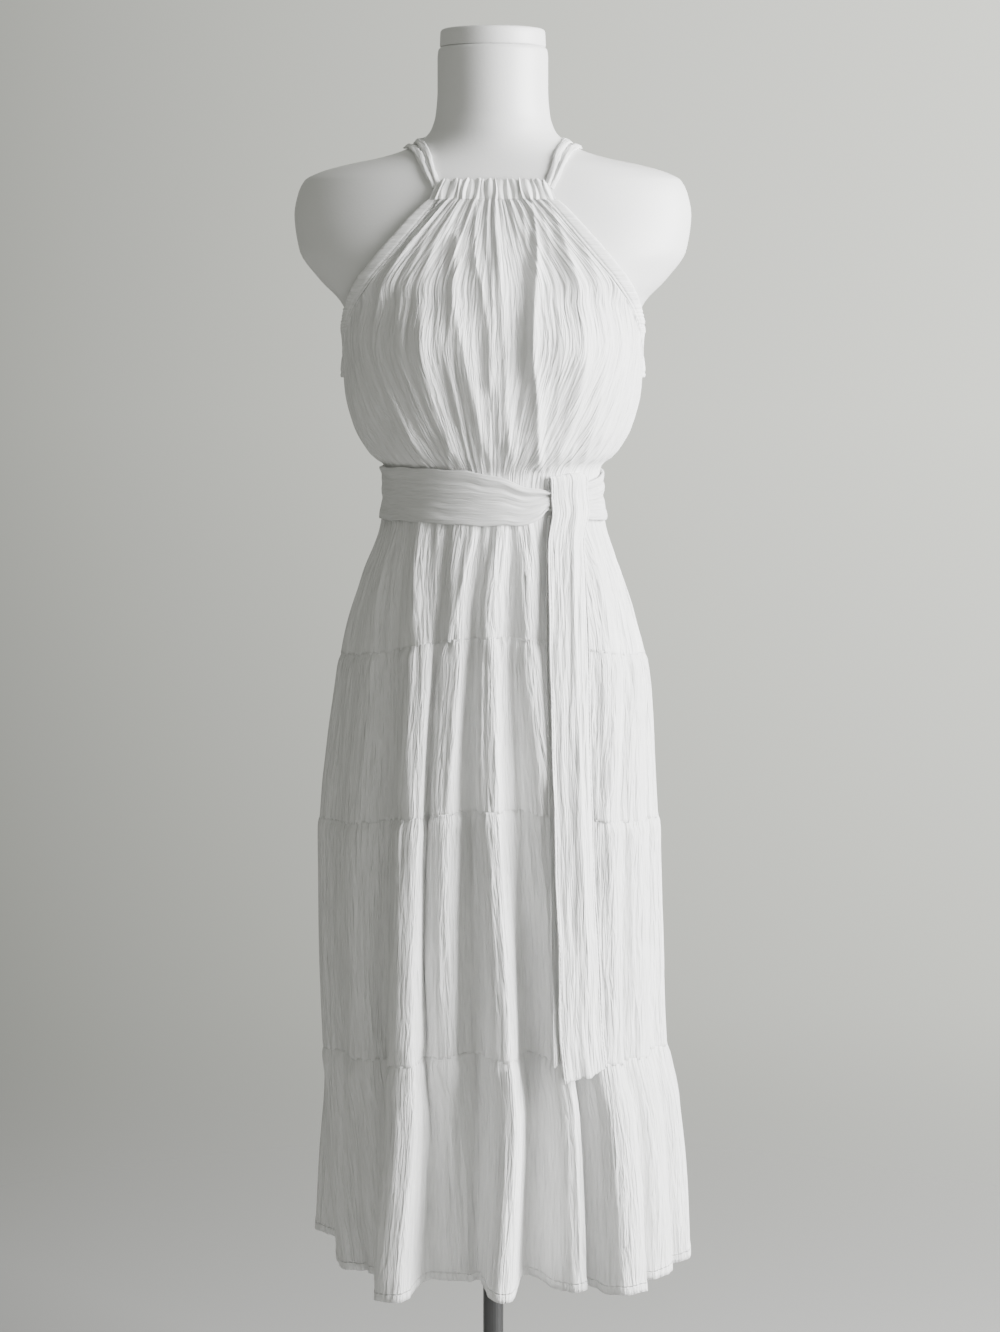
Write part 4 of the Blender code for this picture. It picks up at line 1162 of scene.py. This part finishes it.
def belt_point(angle, z, out):
    """A point that far outside the waist, on a band that flares over the skirt and the front."""
    waist = body_point(BODICE, angle, np.minimum(np.maximum(z, 1115 * MM), 1139 * MM), 0)
    flare = 4.8 * MM * fade(z, 1088 * MM, 1112 * MM) + 2.2 * MM * fade(z, 1142 * MM, 1132 * MM)
    a = np.radians(angle)
    move = out + flare
    x, y = waist[..., 0] + np.sin(a) * move, waist[..., 1] - np.cos(a) * move
    return np.stack(np.broadcast_arrays(x, y, z), axis=-1)


columns = 330
angles = -180 + np.arange(columns) * 360 / columns
top = read(BELT, "angle", angles, "top") * MM
foot = read(BELT, "angle", angles, "foot") * MM
pinch = fade(np.abs(angles - KNOT_ANGLE), 0, 34)
near = fade(np.abs(angles - KNOT_ANGLE), 4, 75)
t = np.linspace(0, 1, 44)[:, None]
z = top[None, :] + (foot - top)[None, :] * t
bulge = (1.3 - 0.4 * pinch[None, :]) * np.sin(t * math.pi) ** 0.5
grid = belt_point(angles[None, :] * np.ones_like(t), z, 3.6 * MM + bulge * MM)
turn = np.radians(angles)
u = turn[None, :] * BELT_RADIUS * np.ones_like(t)
relief = np.zeros(z.shape)
for number, (far, close, height, width) in enumerate(zip(*BELT_FOLDS.values())):
    wander = 0.03 * np.sin(2 * turn + number * 2.1) + 0.02 * np.sin(5 * turn + number)
    centre = far + (close - far) * near + wander * (1 - near)
    strength = 0.5 + 0.3 * np.sin(3 * turn + number * 1.7) + 1.3 * near**2
    relief += height * strength[None, :] * ridge(t - centre[None, :], width)
relief += 0.3 * ripples(t * 0.05, u, 0.012, 0.05, 71)
relief *= 0.25 + 0.75 * np.clip(np.sin(t * math.pi) * 2.2, 0, 1)
grid[..., 2] += 0.5 * MM * ripples(u, u * 0, 0.05, 1, 73)
grid = raised(grid, relief, True)
wrapped = np.concatenate([angles, [180.0]])
uv = np.stack(np.broadcast_arrays(t * 0.055, np.radians(wrapped)[None, :] * BELT_RADIUS), axis=-1)
# The band takes the greyer white, which is painted shade; its ends keep the plain white.
cloth_piece(
    "waist_sash", grid, uv, 2.0 * MM, gauze("gauze of the sash", 2.6 * MM, 0.0007, white=SHADED_SASH_WHITE),
    ["belt"], wrap=True, flat=(0.055, 0.66), held="folded",
    rests_on=["front_panel", "back_panel", "tier_1"],
)

# The ends of the sash
# The front end comes up behind the belt, turns over it and hangs in soft lengthwise folds. The
# other end hangs behind it and is a little shorter.
FRONT_TAIL = table("height left right", [
    (554, 68.5, 111),
    (620, 63.5, 106.5),
    (700, 61.5, 101.5),
    (800, 58.5, 96),
    (900, 55.5, 94),
    (1000, 53.5, 91.5),
    (1080, 53, 88),
    (1125, 53, 87),
])
BACK_TAIL = table("height left right", [
    (573, 58.5, 86),
    (620, 57.5, 86),
    (700, 56, 85),
    (800, 54, 84),
    (900, 52.5, 83),
    (1000, 51.5, 81),
    (1080, 52, 78),
    (1098, 53, 76),
])


def skirt_form(x, z):
    """How far to the front the skirt's plain outer form lies, without its folds."""
    level = through(-z, -SEAMS["front"] * MM, SEAMS["level"])
    half_width = read(SKIRT, "level", level, "half_width") * MM
    depth = read(SKIRT, "level", level, "front") * MM
    across = np.clip((x - read(SKIRT, "level", level, "shift") * MM) / half_width, -1, 1)
    return -depth * np.sqrt(1 - across**2)


def tail_rows(source, heights, out):
    """Rows of points across a hanging end, at some heights, that far in front of the skirt."""
    u = np.linspace(0, 1, 6)
    rows = []
    for z in heights:
        left = read(source, "height", z, "left") * MM
        right = read(source, "height", z, "right") * MM
        x = left + (right - left) * u
        away = (out + 5 * fade(z, 600 * MM, 900 * MM)) * MM
        rows.append(np.stack([x, skirt_form(x, z) - away, np.full(6, z)], axis=1))
    return rows


def finer(rows, down, across):
    """Smooth rows of points, made finer down and across."""
    fine = open_curve(np.array(rows), down)
    return open_curve(fine.transpose(1, 0, 2), across).transpose(1, 0, 2)


# The folds of each end: where each lies across it at the top and at the foot, and how high and
# wide it is.
TAIL_FOLDS = {
    "front": [
        (0.02, 0.02, 1.6, 0.05),
        (0.30, 0.24, 0.9, 0.08),
        (0.45, 0.42, -0.8, 0.07),
        (0.64, 0.60, 6.4, 0.26),
        (0.58, 0.70, 1.2, 0.05),
        (0.86, 0.80, 1.3, 0.06),
        (0.99, 0.98, 0.8, 0.05),
    ],
    "back": [(0.08, 0.06, 1.2, 0.10), (0.45, 0.40, 1.2, 0.12), (0.85, 0.88, 1.0, 0.10)],
}
# Where the front end turns over the belt: its left edge, its width, and the waist's half width.
HOOK_LEFT, HOOK_WIDTH, WAIST_HALF_WIDTH = 53, 34, 106
x = HOOK_LEFT * MM + np.linspace(0, 1, 6) * HOOK_WIDTH * MM
angle = np.degrees(np.arcsin(x / (WAIST_HALF_WIDTH * MM)))
hook = []
for height, out in (
    (1116, 1.0), (1124, 1.0), (1131, 1.1), (1136, 3.2), (1131, 6.2), (1117, 6.8), (1100, 6.6)
):
    z = np.full(6, height * MM)
    hook.append(belt_point(angle, z, out * MM - 2.2 * MM * fade(z, 1142 * MM, 1132 * MM)))
front_rows = hook + tail_rows(
    FRONT_TAIL, np.array([1075, 1040, 985, 920, 850, 780, 710, 650, 600, 558]) * MM, 7.2
)
back_rows = tail_rows(
    BACK_TAIL, np.array([1099, 1075, 1040, 985, 920, 850, 780, 710, 650, 600, 573]) * MM, 3.2
)
for name, stands_for, rows, down, folds, slant, number in (
    ("sash_end_front", "belt_tail_front", front_rows, 12, "front", 5, 81),
    ("sash_end_back", "belt_tail_back", back_rows, 14, "back", 4, 82),
):
    grid = finer(rows, down, 9)
    count, width = grid.shape[:2]
    w = np.linspace(0, 1, width)[None, :]
    run = distance_along(grid[:, width // 2])
    share = (run / run[-1])[:, None]
    relief = np.zeros((count, width))
    for place_top, place_foot, height, broad in TAIL_FOLDS[folds]:
        centre = place_top + (place_foot - place_top) * share + 0.02 * np.sin(
            share * 17 + place_top * 20
        )
        strength = 0.75 + 0.35 * np.sin(share * 11 + place_top * 31)
        relief += height * strength * ridge(w - centre, broad)
    relief += 0.4 * ripples(w * 0.045, run[:, None], 0.011, 0.09, number)
    relief += 1.0 * ripples(w * 0, run[:, None], 1, 0.11, number + 4)
    relief *= 1 - 0.6 * fade(share, 0.05, 0.17)
    grid = raised(grid, relief)
    # The end is cut straight, and hangs crooked with small curls along its edge.
    loose = fade(share, 1.0, 0.93)
    crooked = slant * (w - 0.4) * abs(w - 0.4) * 5 + 0.5 * np.sin(w * 19) + 0.4 * np.sin(w * 47 + 1)
    grid[..., 2] += loose * MM * crooked
    grid[..., 1] -= loose * MM * (1.5 * np.sin(w * 14 + 0.5) + 1.5)
    uv = np.stack(np.broadcast_arrays(w * 0.05, run[:, None]), axis=-1)
    length = float(run[-1])
    stitches = [("u", 0.0025, 0.0028), ("u", 0.0475, 0.0028)]
    cloth_piece(
        name, grid, uv, 1.1 * MM,
        gauze("gauze of the " + name.replace("_", " "), 3.4 * MM, 0.0015, stitches), [stands_for],
        flat=(0.055 if folds == "front" else 0.04, length), held="hung",
        rests_on=["waist_sash", "tier_1"],
    )

# The room
# A plain pale floor in soft grey surroundings, with one broad light from the right of the camera.
floor_material, tree, shader = new_material("pale floor", (0.33, 0.33, 0.325), 0.7)
bpy.ops.mesh.primitive_plane_add(size=24, location=(0, 0, -0.0005))
floor = bpy.context.object
floor.name = "floor"
floor.data.materials.append(floor_material)
floor_place = node(tree, "ShaderNodeTexCoord").outputs["Object"]
reach = node(tree, "ShaderNodeVectorMath", {0: floor_place}, operation="LENGTH").outputs["Value"]
# The floor fades into the wall, so that no edge shows behind the part.
edge = mapped(tree, reach, 0.3, 2.3, 1, 0, interpolation_type="SMOOTHSTEP")
tree.links.new(edge, shader.inputs["Alpha"])

world = bpy.data.worlds.new("soft grey room")
bpy.context.scene.world = world
world.use_nodes = True
sky = world.node_tree
# The room is darker on the left than on the right, where the window is.
direction = node(sky, "ShaderNodeTexCoord").outputs["Generated"]
across, behind, up = node(sky, "ShaderNodeSeparateXYZ", {"Vector": direction}).outputs
near_side = mapped(sky, across, -0.7, 0.7, 0.335, 0.47)
# The pale wall behind, which the window lights from the right. It is dimmer near the floor.
wall = mapped(sky, across, -0.24, 0.24, 0.42, 1.72)
dim = mapped(sky, up, -0.36, -0.05, 0.60, 1.02)
wall = maths(sky, "MULTIPLY", wall, dim)
share = mapped(sky, behind, 0.5, 0.95, 0, 1, interpolation_type="SMOOTHSTEP")
level = node(sky, "ShaderNodeMix", {"Factor": share, "A": near_side, "B": wall})
# Daylight off painted walls gives the shadows a faint warm green.
WALL_TINT = (1.010, 1.028, 0.938)
tinted = node(sky, "ShaderNodeVectorMath", {0: WALL_TINT, "Scale": level.outputs[0]}, operation="SCALE")
background = sky.nodes["Background"]
sky.links.new(tinted.outputs[0], background.inputs["Color"])
background.inputs["Strength"].default_value = 0.85


def area_light(name, at, towards, size, power):
    """A rectangular light that shines from one place towards another."""
    data = bpy.data.lights.new(name, "AREA")
    data.shape = "RECTANGLE"
    data.size, data.size_y = size
    data.energy = power
    made = bpy.data.objects.new(name, data)
    made.location = at
    made.rotation_euler = (Vector(towards) - Vector(at)).to_track_quat("-Z", "Y").to_euler()
    bpy.context.scene.collection.objects.link(made)


area_light("window_side", at=(2.5, -0.75, 1.7), towards=(0, 0, 0.95), size=(2.0, 1.9), power=408)
area_light("front_fill", at=(0.9, -3.2, 2.2), towards=(0, 0, 1.0), size=(2.0, 2.0), power=6)

# The photo's camera. Its focal length and the height of its picture are in pixels of the photo.
FOCAL_PIXELS, PICTURE_PIXELS = 2628, 1332
SENSOR_MM = 36
EYE = (0.007, -2.60, 1.325)
LOOKS_DOWN = 8.4
camera = bpy.data.cameras.new("camera")
camera.sensor_width = SENSOR_MM
camera.lens = FOCAL_PIXELS * SENSOR_MM / PICTURE_PIXELS
eye = bpy.data.objects.new("camera", camera)
eye.location = EYE
eye.rotation_euler = (math.radians(90 - LOOKS_DOWN), 0, 0)
bpy.context.scene.collection.objects.link(eye)
bpy.context.scene.camera = eye
